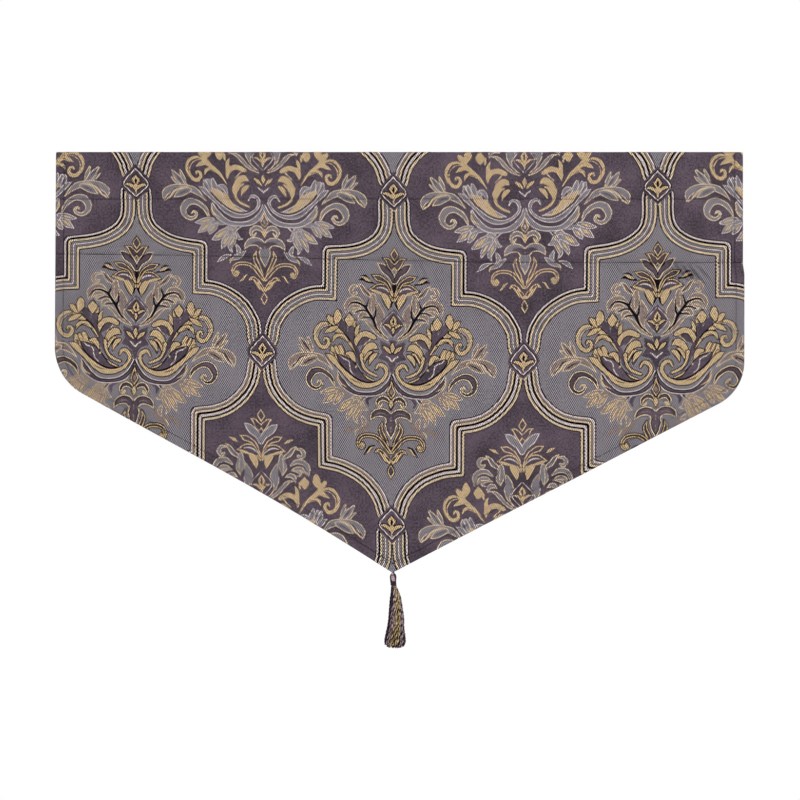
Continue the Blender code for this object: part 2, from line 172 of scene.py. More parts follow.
# Each stroke is its kind, a smooth spine and the widths along it, painted in this order
BOUQUET = (
    # Faint leaves, and two tufts of small drooping ones, below the bouquet
    ("faint", ((33, -70), (41, -73), (50, -80)), (2, 6.4, 0.5)),
    ("faint", ((19, -66), (27, -71.5), (36, -77)), (3, 8, 2)),
    ("gold line", ((32, -73), (35, -75.5), (35.6, -79)), (0.8, 1.7, 0.8)),
    ("faint", ((34, -38), (44, -37), (56, -38)), (3, 7, 6)),
    ("faint", ((28, -43), (36, -49), (43, -52)), (4, 13, 7)),
    ("tuft", ((29, -60), (26.6, -65), (28, -70)), (2, 5, 2)),
    ("tuft", ((30, -42), (30, -48), (26.4, -53), (23, -53.6)), (3, 5.6, 5, 1.5)),
    ("tuft", ((30, -50), (33, -57), (35.6, -63), (33, -68)), (4, 6.6, 5, 1)),
    ("tuft", ((35, -50), (40, -56), (43, -62), (44, -65)), (4, 7, 6, 1)),
    ("tuft", ((30, -44), (34, -42), (40, -43.5)), (3, 5.4, 2)),
    ("tuft", ((38, -44), (45, -50), (50, -54), (53.4, -55.6)), (4, 8, 7.5, 2)),
    ("tuft", ((48, -38.5), (52, -43), (56.4, -49)), (3, 6.8, 3.5)),
    ("tuft", ((55, -38), (60.5, -43), (64.5, -46.4), (68, -49)), (3, 7.2, 6.6, 1)),
    ("tuft", ((52, -34), (60, -36), (66, -38), (70.6, -38.6)), (3, 6.4, 6, 1.5)),
    # The inverted V below the bouquet, with its gilt end and the small curl under it
    ("plum", ((14, -38.5), (21, -40.6), (24, -45), (22.4, -50)), (1.5, 3.6, 3.6, 0.8)),
    ("line", ((18, -36), (23, -39.6), (29.4, -46)), (1, 1.3, 0.8)),
    ("vein", ((19.5, -36), (25, -40), (31, -45.4)), (1, 1.7, 0.6)),
    ("band", ((0, -16), (2.2, -24.5), (7.6, -32), (15.6, -36.8), (26, -38.2), (36, -37.2), (44, -32.4),
              (50.4, -25.4), (53, -17)), (2.4, 5, 6.2, 5.6, 5, 5.4, 6.6, 7.2, 2)),
    ("gold line", ((44.5, -32), (50, -29), (53.2, -25), (53.2, -20)), (0.8, 1.5, 2.2, 1.5)),
    # The lower fleur with its buds and curls
    ("curl", ((1.4, -46), (4.2, -42.4), (9, -41.2), (13.2, -44.4), (13.4, -48.4), (10.6, -49.6),
              (9, -46.6)), (2.6, 4.8, 5.4, 5, 3.8, 2.8, 1.8)),
    ("curl", ((1.5, -61), (6, -56.2), (11.5, -55.6), (17, -58), (20.8, -64)), (8, 8.8, 8.8, 6.6, 0.5)),
    ("curl", ((0, -57), (0, -62), (0, -70), (0, -82.6)), (2, 12, 9, 0.5)),
    ("plum", ((0.5, -60.5), (6, -57.6), (12, -57)), (7, 4.6, 3)),
    ("faint", ((3.4, -59), (7, -56.6), (12, -56.4), (17.6, -59.8)), (0.6, 1.7, 1.7, 0.6)),
    ("faint", ((0, -59.4), (0, -64.4)), (1.8, 1.8)),
    ("faint", ((0, -69), (0, -75)), (2.2, 1.4)),
    ("gold", ((0, -42.6), (0, -47), (0, -51.6)), (1.2, 4.6, 0.5)),
    ("rimmed", ((0, -23.4), (0, -29), (0, -35.4), (0, -41.6)), (0.4, 3.6, 8, 0.6)),
    ("faint", ((0, -31.6), (0, -35.6), (0, -38.6)), (1.2, 4.6, 0.6)),
    ("rimmed", ((2, -91), (5, -84), (8.2, -77.5), (10.2, -71.5), (8.4, -65.4)), (2, 3.6, 4.4, 4.2, 0.8)),
    ("rimmed", ((0.6, -95.5), (5.4, -89), (10, -83.5), (16, -79.6), (23, -78.8), (29.4, -80.6),
                (32.6, -85.4), (32, -90), (29, -91.6), (27, -89), (28.8, -87)),
     (3, 4, 4.2, 4, 3.8, 3.8, 3.8, 3.4, 3, 2.8, 2.4)),
    ("gold line", ((28.6, -88.4), (30, -88.4)), (2.2, 2.2)),
    ("gold", ((0, -106), (4.4, -101.4), (8.4, -96.4), (12, -93.4), (15.8, -95.6)), (3, 5.6, 5.6, 4, 1)),
    ("vein", ((2, -103), (4.6, -99.6)), (1.6, 1.6)),
    ("vein", ((7.6, -96.6), (9.8, -94.4), (12.6, -93.6)), (1.4, 1.8, 1)),
    ("vein", ((16.6, -88.6), (20.6, -91.4), (23.4, -95.6), (27.6, -99)), (1.2, 4.4, 3.8, 0.3)),
    ("gold line", ((17.6, -90.2), (20.6, -92.2), (22.6, -95.6), (25.6, -97.6)), (0.6, 1.9, 1.9, 0.5)),
    ("rimmed", ((0, -106.6), (0, -113.6), (0, -121)), (0, 7, 0)),
    # Acanthus leaves above the scrolls, with dark gaps between them
    ("leaf", ((23, 59.5), (28.6, 63.5), (32, 68.4), (36, 72)), (3, 5.4, 4.6, 1)),
    ("leaf", ((35.6, 69), (40.6, 68.8), (43.2, 64.6), (40.6, 60.8), (37, 62.6)), (1.6, 3.6, 4.6, 4, 2.6)),
    ("vein", ((24, 59.6), (29, 64.5), (33, 70)), (0.8, 0.8, 0.4)),
    ("leaf", ((4.4, 16.6), (12, 20.4), (17.5, 25), (23, 31.5), (28, 35.4), (32.4, 36)),
     (1.6, 3.2, 3.8, 4.6, 3.6, 0.8)),
    ("leaf", ((5, 19), (9, 21.8), (12.8, 26), (14.2, 33), (13.4, 40), (15.6, 52.4)),
     (0.8, 1.8, 4, 9.6, 8.4, 2.4)),
    ("leaf", ((21.4, 40.6), (22, 47), (21.4, 54), (20.5, 62.4)), (0, 8, 8.4, 4)),
    ("cream line", ((21.6, 43), (22.6, 50), (21.6, 59)), (0.5, 0.9, 0.5)),
    ("leaf", ((29.4, 51.6), (35.4, 56), (42.5, 55.4), (47, 50.5), (47.6, 41)), (2, 5, 5.4, 4.8, 0)),
    ("leaf", ((30, 45.8), (36, 48.9), (41.6, 48.2), (45.8, 42)), (2, 4.6, 3.6, 0)),
    ("leaf", ((33.5, 46.6), (38.4, 45.8), (39.6, 42.6), (36, 41.4)), (2, 3.4, 2.8, 0.8)),
    ("leaf", ((24.6, 39.4), (29, 41.8), (33, 40), (34.4, 34)), (1.5, 4.6, 4.2, 0)),
    ("vein", ((5.4, 17.4), (11, 22.6), (16.6, 28), (20, 36), (25.6, 44.5), (30, 50), (38, 52.8),
              (43, 51.6), (46.4, 46)), (0.6, 1.2, 2, 2.6, 2.6, 2.4, 1.7, 1.4, 0.5)),
    ("vein", ((20, 36), (17.8, 42), (17.6, 52)), (1.8, 1.6, 0.8)),
    ("vein", ((26, 44.4), (32.5, 45), (38, 42.4)), (1.4, 1.3, 0.8)),
    ("vein", ((22, 38.2), (28, 38.6), (32, 36.6)), (1.4, 1.2, 0.6)),
    ("vein", ((24.5, 57), (26.4, 52), (27.6, 47)), (0.8, 1.6, 1.6)),
    # The palmette at the top
    ("vein", ((0, 82), (0, 70), (0, 60)), (6, 5, 1)),
    ("petal", ((0.2, 74), (3.4, 81.6), (8.4, 86), (12.8, 90.4), (17.4, 93.8)), (4.6, 6.4, 7.8, 7.6, 0)),
    ("rimmed", ((0, 88.4), (2.4, 90.6), (4.6, 93.4), (6.8, 96.7), (11.4, 98.6)), (8, 7.2, 6.2, 4, 0.5)),
    ("rimmed", ((0, 109.2), (0, 102.6), (0, 95.6)), (0, 7.8, 0.6)),
    ("gold", ((11.6, 62.8), (9, 60), (6.4, 55), (4.8, 47.2)), (3, 7, 5.8, 0)),
    ("vein", ((0.3, 57), (2.2, 51), (6, 45)), (1.2, 1.1, 0.3)),
    ("rimmed", ((1.2, 56), (3.4, 63), (8, 67.6), (14, 68.4), (19, 67), (25, 66.2)), (2, 4.4, 7, 9, 7.4, 0)),
    ("plum", ((4, 61.6), (8.4, 65), (13.6, 65.6), (18, 65)), (0.8, 3.6, 4, 1)),
    ("line", ((3.6, 63.4), (8, 67.4), (13.4, 68.9), (18, 67.8)), (0.5, 1.5, 1.5, 0.6)),
    ("gold line", ((12.6, 63), (17, 64.2), (21.5, 66)), (2.2, 3, 1.6)),
    ("rimmed", ((1.2, 61), (4.2, 69), (7.4, 74), (12.4, 77.2), (17.6, 79), (22.2, 81)),
     (2, 3.2, 3.8, 5, 6.2, 0)),
    ("vein", ((20.2, 72.8), (26, 74.6), (31, 76.6), (36, 75.2)), (1.5, 3.6, 3.6, 0.3)),
    ("vein", ((24.6, 77), (28.6, 80.2), (33, 80)), (0.6, 1.7, 0.6)),
    ("gold line", ((23.6, 74.2), (28.6, 77.2), (32.4, 78.6)), (0.8, 3.2, 0.6)),
    # The ogive and the star-flower on the axis
    ("plum", ((0, 48), (0, 33), (0, 18)), (0, 23, 0)),
    ("line", ((0.6, 45), (10.4, 32.4), (0.6, 19.4)), (0.5, 0.8, 0.5)),
    ("gold", ((0, 41.2), (0, 35.6), (0, 29.6)), (0.4, 6.8, 2)),
    ("vein", ((0, 38.6), (0, 35.4), (0, 32)), (0.6, 2, 0.6)),
    ("gold", ((0.2, 27.4), (3, 30), (6, 31.8), (9.2, 31.8)), (2.4, 2.6, 2.2, 0.6)),
    ("gold", ((0, 29), (0, 26), (0, 22.6)), (3, 2.8, 0.8)),
    ("plum", ((0, 17), (0, 4), (0, -8), (0, -17)), (4, 13, 8, 1.6)),
    ("plum", ((0, 2), (7, 9), (12.6, 16)), (8, 10, 0)),
    ("plum", ((0, -1), (7, 0.6), (14.4, -2)), (10, 10, 0)),
    ("gold", ((1.8, 3.4), (5, 7), (8.8, 10)), (1, 3.6, 2)),
    ("gold", ((0, 14.2), (0, 9.6), (0, 4.6)), (0.8, 4.4, 0.8)),
    ("line", ((0, -4.6), (2.4, -1.6), (5.8, 0.8)), (1.5, 1.5, 1.1)),
    # Side sprig: a stem, a tulip and two leaves
    ("leaf", ((79.4, -1), (81.2, 6), (84.6, 16)), (2, 4.8, 1.8)),
    ("leaf", ((80, -1), (88, 3.6), (94.6, 8.2)), (2, 5, 1.6)),
    ("leaf", ((79.6, -1), (86.6, 7), (93, 15)), (2, 7, 2.6)),
    ("vein", ((83, 3), (87.4, 8.4), (91, 13)), (0.6, 1, 0.5)),
    ("leaf", ((58.8, -15), (64, -9.6), (70.5, -4.6), (78, -2)), (1.2, 3.8, 7, 6)),
    ("leaf", ((75, -4), (81.5, -6.6), (87, -9.6), (92, -13)), (5, 7.6, 7, 1)),
    ("leaf", ((78, -0.4), (88, -1), (96, -4.6), (101, -9.5), (102.6, -17)), (3, 3.8, 6.8, 6.8, 0.5)),
    ("cream line", ((82, -2.5), (90, -5.4), (95, -12), (101.5, -17)), (1, 2, 2, 1)),
    ("vein", ((84, -2), (91.6, -4.6), (96.4, -11), (100.5, -15)), (0.5, 1, 1.1, 0.5)),
    ("vein", ((77, -5), (82.6, -7), (88, -10.6)), (0.6, 1.1, 0.5)),
    # The large side curl
    ("curl", ((56.8, -31), (59.8, -24), (65.5, -18.8), (72, -16.4), (78.5, -18.2), (82.4, -24.5),
              (81.4, -31), (76, -34.6), (70.6, -32.6), (69.2, -28.8), (72.2, -26.8), (74, -29.2)),
     (2.4, 4.4, 5.4, 5.8, 7.2, 8, 7.4, 5.4, 4.4, 3.6, 2.8, 1.8)),
    # The plume that rises from the scroll, with plum hearts and gilt lobes
    ("plum", ((25, -18), (30, -9.6), (34.4, 2), (40, 13), (46, 20.6), (54, 27.4)), (1.5, 5, 5, 5.4, 5.4, 4)),
    ("gold", ((62, 28.4), (67, 29.6), (72, 27.8), (75.6, 23.4), (76.8, 18), (75.6, 12.4), (71.6, 7.4),
              (67, 6.6), (63.6, 10), (64.2, 14.4), (67.4, 15.6), (68.4, 13)),
     (1.5, 4.4, 5.6, 5.6, 5, 4.2, 3.4, 3.6, 3.8, 3.2, 2.4, 1.8)),
    ("grey", ((64, 28.8), (69, 28.2), (73.6, 24.6), (75.8, 19.4), (75.4, 14)), (0.8, 1.8, 1.8, 1.3, 0.4)),
    ("gold", ((37.4, 4), (41.6, 10.6), (46, 16.4), (51.6, 21.4), (58, 26), (63, 29.6)),
     (0.8, 2.2, 3, 3.4, 5, 2)),
    ("gold", ((43.6, 13.4), (49, 17.8), (54, 18.8), (58, 17), (59.6, 12.8)), (1, 3.6, 4, 3.2, 0.8)),
    ("vein", ((48, 16.4), (53, 17.6), (57.6, 15)), (0.4, 0.9, 0.4)),
    ("gold", ((56, 27.2), (62, 24.4), (67.8, 21)), (3, 5, 1)),
    ("plum", ((53.6, 34.2), (50, 29), (46, 24)), (4, 7, 2)),
    ("plum", ((43, 29.4), (41, 22.5), (38.5, 14)), (2, 7.8, 3)),
    ("plum", ((24, 17.4), (28.5, 15.4), (33, 13), (35, 9.5)), (2, 8, 8, 3)),
    ("cream line", ((22, 17), (25.5, 13.4), (29, 10)), (1.2, 1.2, 0.8)),
    ("gold", ((65, 37.2), (61.6, 33.4), (57.6, 30)), (3.4, 5.6, 4)),
    ("gold", ((55.6, 43), (55.6, 37.4), (57, 31)), (4.6, 8, 3)),
    ("gold", ((39, 34.4), (38.4, 28.4)), (3, 1.8)),
    ("gold", ((43.6, 40.6), (43.6, 35), (43.6, 29.6)), (1.5, 9.2, 4)),
    ("gold", ((33.4, 31.2), (35.4, 27), (36.2, 22), (36.6, 16)), (0, 3.4, 3.4, 2)),
    ("gold", ((18, 18), (22, 20.2), (27, 21.8), (32.5, 19.8), (36, 15), (36.2, 9.8)),
     (4, 5.2, 5.2, 4.8, 4.8, 1)),
    ("gold", ((20, 4.2), (24.4, 2), (27.4, -3), (29, -9)), (1.5, 3.8, 3.4, 2)),
    ("gold", ((14.8, 7.2), (19, 10.2), (23.6, 8.8), (27.2, 5), (29.6, 0)), (0, 6.4, 6.4, 5, 4)),
    ("gold", ((15.2, 2.2), (18.6, 0), (21.2, -4), (22.4, -8.6)), (2.4, 4.4, 3.2, 0.6)),
    ("vein", ((19.4, 2.6), (22.6, 0.4), (25, -4.6)), (0.6, 1.4, 0.5)),
    # The great scroll, the leaf inside it and its gilt lobes
    ("gold", ((30.6, 1), (30, -5), (28, -11), (24.6, -15), (19.6, -17.8), (14.6, -19.6)),
     (3.4, 2.6, 2.4, 2.4, 2.4, 2)),
    ("scroll", ((43, 1.4), (47, -2.6), (53, -2)), (5, 8, 5)),
    ("scroll", ((48.6, -3), (50.4, 3), (52, 8.8)), (5, 5.8, 3)),
    ("scroll", ((53, -4), (55.4, 3), (56.8, 7.6)), (4, 5, 3)),
    ("scroll", ((56, -5), (59.4, 2), (59.8, 6.8)), (5, 5, 2.6)),
    ("scroll", ((37, -9), (38.4, -3), (41.6, 1.2), (45.6, 1)), (1.5, 3.8, 5, 2.4)),
    ("scroll", ((15.6, -13), (14, -9.4), (11, -8), (7.4, -9.8), (5.2, -13.4), (5.4, -17.4), (7.2, -21),
                (11, -25), (17, -28.2), (24, -29.6), (31, -28.8), (37.4, -25.8), (43.4, -21), (50, -14.6),
                (56, -8.6), (61, -3.4), (66, -0.2)),
     (1.6, 3, 3.8, 3.2, 3, 3.2, 3.6, 4.4, 5.2, 5.6, 5.4, 4.6, 3.6, 3.6, 4.6, 5.4, 0.6)),
    ("scroll", ((17.6, -24.4), (23, -23), (28, -20.8), (32, -17.6), (33, -14.8)), (1, 2.6, 3.6, 3.4, 1)),
    ("scroll leaf", ((17.6, -25.6), (26, -24.2), (34, -18.6), (41, -11.4), (47.6, -6), (53.6, -1.4)),
     (0.6, 4.2, 8.6, 11, 10.4, 4)),
    ("line", ((36.8, -20), (40.4, -16.4), (41.8, -12), (42.4, -7.4), (45.6, -4.8), (49, -3.8), (52, -0.6)),
     (0.8, 1.1, 1.1, 1.1, 1.1, 1.1, 0.8)),
    ("vein", ((30, -27.4), (36, -26), (41, -23.4)), (0.4, 0.9, 0.4)),
    ("gold line", ((35, -11), (36, -12.2)), (2, 1.6)),
    ("vein", ((56.6, -2.4), (58.6, 1.4), (61.6, 2.6)), (0.6, 1, 0.4)),
)

STEP = 1.3
SMOOTHNESS = 0.2
LONGEST = 12
FEWEST = 6
NEAREST = 0.05
CAP = 0.8
SHARPEST = 0.45


def smooth_line(points, step):
    """Evenly spaced points on a smooth curve through given ones."""
    set_points = np.array(points, float)
    held = np.vstack([2 * set_points[0] - set_points[1], set_points, 2 * set_points[-1] - set_points[-2]])
    t = np.linspace(0, 1, 12, endpoint=False)[:, None]
    dense = []
    for a, b, c, d in zip(held, held[1:], held[2:], held[3:]):
        bend, twist = 2 * a - 5 * b + 4 * c - d, 3 * b - a - 3 * c + d
        dense.append(0.5 * (2 * b + (c - a) * t + bend * t**2 + twist * t**3))
    dense = np.vstack([*dense, set_points[-1:]])
    run = np.concatenate([[0], np.cumsum(np.linalg.norm(np.diff(dense, axis=0), axis=1))])
    at = np.linspace(0, run[-1], max(2, round(run[-1] / step)) + 1)
    return np.column_stack([np.interp(at, run, dense[:, k]) for k in range(dense.shape[1])])


def unit(vectors):
    """These vectors, each brought to the length of 1."""
    return vectors / np.linalg.norm(vectors, axis=1)[:, None]


def plainer(outline):
    """A closed outline with the points taken out that its shape hardly needs."""
    points = list(outline)
    while len(points) > FEWEST:
        here = np.array(points)
        before, after = np.roll(here, 1, 0), np.roll(here, -1, 0)
        chord = after - before
        apart = here - before
        length = np.hypot(*chord.T)
        bend = np.abs(chord[:, 0] * apart[:, 1] - chord[:, 1] * apart[:, 0]) / length.clip(1e-6)
        bend[length > LONGEST] = math.inf
        drop = int(bend.argmin())
        if bend[drop] > SMOOTHNESS:
            break
        points.pop(drop)
    return np.array(points)


def ribbon(spine, widths):
    """The outline of a stroke, anticlockwise, with rounded ends where it isn't drawn to a tip."""
    line = smooth_line(spine, STEP)
    profile = smooth_line(np.column_stack([np.linspace(0, 1, len(widths)), widths]), 0.02)
    half = np.maximum(np.interp(np.linspace(0, 1, len(line)), profile[:, 0], profile[:, 1]), 0) / 2
    along = unit(np.gradient(line, axis=0))
    side = np.column_stack([-along[:, 1], along[:, 0]])
    on_axis = spine[0][0] == 0
    first_cap = line[:1] - (0 if on_axis else along[:1] * half[0] * CAP)
    last_cap = line[-1:] + along[-1:] * half[-1] * CAP
    there, back = line - side * half[:, None], line[::-1] + side[::-1] * half[::-1, None]
    outline = np.vstack([there, last_cap, back, first_cap])
    keep = np.linalg.norm(outline - np.roll(outline, 1, 0), axis=1) > NEAREST
    return plainer(outline[keep])


def grown(outline, by):
    """The outline moved outwards, or inwards where by is below 0."""
    if by == 0:
        return outline
    ahead = unit(np.roll(outline, -1, 0) - outline)
    facing = np.column_stack([ahead[:, 1], -ahead[:, 0]])
    corner = facing + np.roll(facing, 1, 0)
    sharp = np.maximum((corner**2).sum(1) / 2, SHARPEST)
    return outline + corner * by / sharp[:, None]


def woven_rings(strokes, ground):
    """The rings of yarn that these strokes are woven as, in painting order, as (yarn, outline)."""
    rings = []
    for kind, spine, widths in strokes:
        outline = ribbon(spine, widths)
        for yarn, by in FINISHES[kind][ground]:
            rings.append((yarn, grown(outline, by)))
    return rings


# The frame of a cell: its roof runs from the diamond at the top, by a corner, a straight drop and a second
# corner, to the diamond at the side, where it hooks in. It is woven as strips, each from one distance out to
# another, and its corners are eased off, the outer strips' upper ones the most.
Roof = namedtuple("Roof", "shoulder drop haunch strips")
LIGHT_ROOF = Roof(
    shoulder=((2.6, 164.5), (5.8, 159.4), (7.3, 154), (7, 146), (7.6, 133), (11, 122.5), (18.5, 114),
              (31, 106.5), (46, 102.5), (63.4, 100.8)),
    drop=((63.4, 100.8), (63.4, 59.6)),
    haunch=((63.4, 59.6), (77, 59.5), (87.5, 56.8), (96, 52.8), (104.3, 47.3), (111.5, 40.2), (116.5, 32.5),
            (119.7, 24.5), (120.6, 15.4), (122.4, 8.6), (127, 3)),
    strips=((DARK, -6.9, 9.5), (CREAM, -5.8, -3.6), (GREY, -2.9, -1.7), (PALE, -1.2, 0.2), (GREY, 0.7, 2.0),
            (CREAM, 2.7, 4.7), (PALE, 6.8, 8.6)),
)
PLUM_ROOF = Roof(
    shoulder=((2, 162.5), (4.6, 157.6), (5.8, 151), (7.2, 141), (11, 130), (18.5, 119.4), (31, 108.3),
              (46, 101.5), (62.7, 98.4)),
    drop=((62.7, 98.4), (62.7, 56)),
    haunch=((62.7, 56), (77, 53.9), (88, 50), (98, 45), (106.4, 38.2), (113.4, 30), (117.8, 22), (120, 14.4),
            (122, 8), (127, 2.6)),
    strips=((DARK, -5.9, 10), (CREAM, -5.1, -2.9), (PALE, -1.3, 1.1), (CREAM, 3.3, 5.2), (MAUVE, 5.7, 7.3),
            (PALE, 7.3, 9.0)),
)
ROOFS = (LIGHT_ROOF, PLUM_ROOF)
ROOF_STEP = 5
UPPER_EASINGS = ((6, 6.5), (1, 2.6), (-10, 1.6))
LOWER_EASING = 1.6
WELL_OUT = 6
CORNER_GAP = 0.3
ROOF_OUT = 9.8
SIDE_SLACK = 0.2
BELOW_CELL = 18
DIAMOND = (
    (0, 15.8), (4, 11.4), (8, 7), (11.4, 3), (12.9, -0.6), (11.8, -4), (8, -8), (4, -11.8), (0, -15.4),
)
DIAMOND_RINGS = ((PLUM, 2.8), (DARK, 1.0), (PALE, 0), (PLUM, -1.2))
DIAMOND_FLEUR = (
    ("gold", ((0.5, -6.6), (4, -3.4), (8, -1.7), (10.2, -2.2)), (3, 3, 3, 1.6)),
    ("gold", ((0, 8), (0, 3.6), (0, -2)), (0.6, 8.4, 2.4)),
    ("vein", ((0, 4.8), (0, 2), (0, -0.8)), (1, 2.8, 1.4)),
    ("gold line", ((0, -2), (0, -8), (0, -12)), (3, 2.8, 0.8)),
)


def meeting(here, ahead, there, onwards, reach=80):
    """Where two straight lines cross, each given by a point and a direction."""
    return np.array(geometry.intersect_line_line_2d(
        here - ahead * reach, here + ahead * reach, there - onwards * reach, there + onwards * reach,
    ))


def eased(coming, corner, going, cut, steps):
    """A corner, cut off by a smooth curve."""
    start, end = corner - coming * cut, corner + going * cut
    share = np.linspace(0, 1, steps)[:, None]
    return (1 - share)**2 * start + 2 * share * (1 - share) * corner + share**2 * end


def roof_line(roof, by):
    """The roof's centre line moved outwards by some squares, with its corners eased."""
    runs = []
    for run in (smooth_line(roof.shoulder, ROOF_STEP), np.array(roof.drop, float),
                smooth_line(roof.haunch, ROOF_STEP)):
        ahead = unit(np.gradient(run, axis=0))
        runs.append((run + np.column_stack([-ahead[:, 1], ahead[:, 0]]) * by, ahead))
    (shoulder, a), (drop, b), (haunch, c) = runs
    steps = 6 if by > WELL_OUT else 3
    cut = next(cut for beyond, cut in UPPER_EASINGS if by > beyond)
    upper = eased(a[-1], meeting(shoulder[-1], a[-1], drop[0], b[0]), b[0], cut, steps)
    lower = eased(b[0], meeting(drop[0], b[0], haunch[0], c[0]), c[0], LOWER_EASING, steps)
    before = shoulder[shoulder[:, 0] < upper[0, 0] - CORNER_GAP]
    after = haunch[haunch[:, 0] > lower[-1, 0] + CORNER_GAP]
    return np.vstack([before, upper, lower, after])


def cell(ground):
    """Everything in the right half of a cell, in painting order, as (yarn, outline)."""
    roof = ROOFS[ground]
    under = np.vstack([[(0, 166)], roof_line(roof, 0), [(ACROSS / 2, 0), (ACROSS / 2, -200), (0, -200)]])
    rings = [(ground, under[::-1])]
    for yarn, inner, outer in roof.strips:
        rings.append((yarn, np.vstack([roof_line(roof, inner), roof_line(roof, outer)[::-1]])))
    rings += woven_rings(BOUQUET, ground)
    half = smooth_line(DIAMOND, STEP)
    whole = plainer(np.vstack([half, half[-2:0:-1] * (-1, 1)])[::-1])
    top = (0, DOWN / 2)
    rings += [(yarn, grown(whole, by) + top) for yarn, by in DIAMOND_RINGS]
    return rings + [(yarn, outline + top) for yarn, outline in woven_rings(DIAMOND_FLEUR, GREY)]


def winding(points, outline):
    """How often each point is wound round by a closed outline."""
    x, z = points[:, :1], points[:, 1:]
    ax, az = outline.T
    bx, bz = np.roll(outline, -1, 0).T
    left = (bx - ax) * (z - az) - (x - ax) * (bz - az)
    return ((az <= z) & (bz > z) & (left > 0)).sum(1) - ((az > z) & (bz <= z) & (left < 0)).sum(1)


def within(points, outline):
    """Which points lie inside a closed outline."""
    found = np.zeros(len(points), bool)
    near = np.flatnonzero(((points >= outline.min(0)) & (points <= outline.max(0))).all(1))
    if len(near):
        found[near] = winding(points[near], outline) > 0
    return found


def visible_edges(ground, charts, covers):
    """The edges of a cell's rings that no later ring and no lower cell covers, as pairs of points."""
    other = PLUM if ground == GREY else GREY
    starts, ends = [], []
    rings = charts[ground]
    for k, (_, outline) in enumerate(rings):
        start, end = outline, np.roll(outline, -1, 0)
        middle = (start + end) / 2
        hidden = (middle[:, 0] < -SIDE_SLACK) | (middle[:, 0] > ACROSS / 2 + SIDE_SLACK)
        hidden |= middle[:, 1] < -DOWN / 2 - BELOW_CELL
        for _, later in rings[k + 1:]:
            hidden |= within(middle, later)
        beside = np.column_stack([np.abs(middle[:, 0] - ACROSS / 2), middle[:, 1] + DOWN / 2])
        hidden |= within(beside, covers[other]) | within(middle + (0, DOWN), covers[ground])
        starts.append(start[~hidden])
        ends.append(end[~hidden])
    return np.stack([np.vstack(starts), np.vstack(ends)], 1)


charts = {ground: cell(ground) for ground in (GREY, PLUM)}
# The wrong side shows the same figure, but only its larger and bolder shapes: of each yarn, those that are at
# least this many squares across, which of the cream yarn is the roofs alone
bold_charts = {}
for ground, rings in charts.items():
    least = {ground: 2.5, GOLD: 2.5, MAUVE: 2.5, CREAM: 60}
    bold_charts[ground] = [(yarn, outline) for yarn, outline in rings
                           if np.ptp(outline, 0).min() > least.get(yarn, math.inf)]
# What the roof of each kind of cell hides of the cells above it
covers = {}
for ground, roof in enumerate(ROOFS):
    over = roof_line(roof, ROOF_OUT)
    covers[ground] = np.vstack([[(0, over[0, 1])], over, [(ACROSS / 2, -60), (0, -60)]])[::-1]

# The cells' centres on the flat cloth, the upper rows first, because each row laps over the one above it
Cell = namedtuple("Cell", "ground centre")
FARTHEST_CELL = 0.62
cells = []
for row in range(3, -3, -1):
    for column in range(-2, 3):
        across = (column + row % 2 / 2) * ACROSS * SQUARE
        centre = (LIGHT_CELL[0] + across, LIGHT_CELL[1] + row * DOWN / 2 * SQUARE)
        if abs(centre[0]) < FARTHEST_CELL:
            cells.append(Cell((GREY, PLUM)[row % 2], np.array(centre)))

# The weft doesn't lie quite straight in the cut cloth. At each height and place across, this is how many
# millimetres the pattern is drawn to the right and up.
BOW_PLACES = (-0.420, -0.252, -0.084, 0.084, 0.252, 0.420)
BOWS = {
    -0.020: ((5.5, 8), (-4, -2.5), (0, 0), (-3, -2.5), (1.5, 1), (1.5, 5.5)),
    -0.160: ((0.5, 5), (6, 4), (1.5, 4), (3.5, -2.5), (-1, 2), (3.5, 3)),
    -0.300: ((4, 17), (-2.5, 1), (-4, 1), (0, -1.5), (-2, -1.5), (2.5, 6)),
    -0.440: ((0, 0), (0, 0), (0.5, 5), (-2.5, -5), (0, 0), (0, 0)),
}
BOW_REACH = 0.17


def bowed(places):
    """Where points of the pattern come to lie in the flat cloth."""
    moved = places.copy()
    for z, offsets in BOWS.items():
        for x, offset in zip(BOW_PLACES, offsets):
            near = np.exp(-((places - (x, z))**2).sum(-1) / BOW_REACH**2)
            moved += near[..., None] * np.array(offset) / 1000
    return moved


def unbowed(flat):
    """The points of the pattern that lie at these points of the flat cloth."""
    places = flat.copy()
    for _ in range(5):
        places += flat - bowed(places)
    return places


def yarn_at(flat, charts):
    """Which yarn shows at each point of the flat cloth."""
    yarn = np.full(len(flat), GREY)
    places = unbowed(flat)
    for place in cells:
        here = (places - place.centre) / SQUARE
        here[:, 0] = np.abs(here[:, 0])
        own = np.flatnonzero((here[:, 0] < ACROSS / 2 + 1) & (np.abs(here[:, 1]) < 200))
        for colour, outline in charts[place.ground]:
            yarn[own[within(here[own], outline)]] = colour
    return yarn


# The cloth
# One length of jacquard, cut to a point. Its sides and slanting edges are turned under and stitched. Its top
# is turned down behind and stitched along two rows, which make the header and the pocket for the rod. In the
# flat cloth, heights below 0 are of the front, and heights above 0 are of what is turned down behind it.
TOP_HALF_WIDTH = 0.4562
LOW_HALF_WIDTH = 0.4580
POINT = (-0.0093, -0.5586)
LEFT_CORNER_Z = -0.3000
RIGHT_CORNER_Z = -0.3170
LEFT_CORNER_RADIUS = 0.072
RIGHT_CORNER_RADIUS = 0.063
EDGE_LIFT = 0.0055
LIFT_REACH = 0.16
HEADER_Z = -0.0625
SEAM_Z = -0.1355
SEAM_DROP = 0.0112
CLOTH = 0.0010
HEM = 0.0022
HEM_WIDTH = 0.0120
HEM_TOP_Z = -0.14
FRONT_Y = -0.0006
ROLL = 0.00135
HEM_ROLL = 0.00255
HEM_ROLL_WIDTH = 0.0135
HEADING_INSET = 0.0010
SEAM_ALLOWANCE = 0.0045
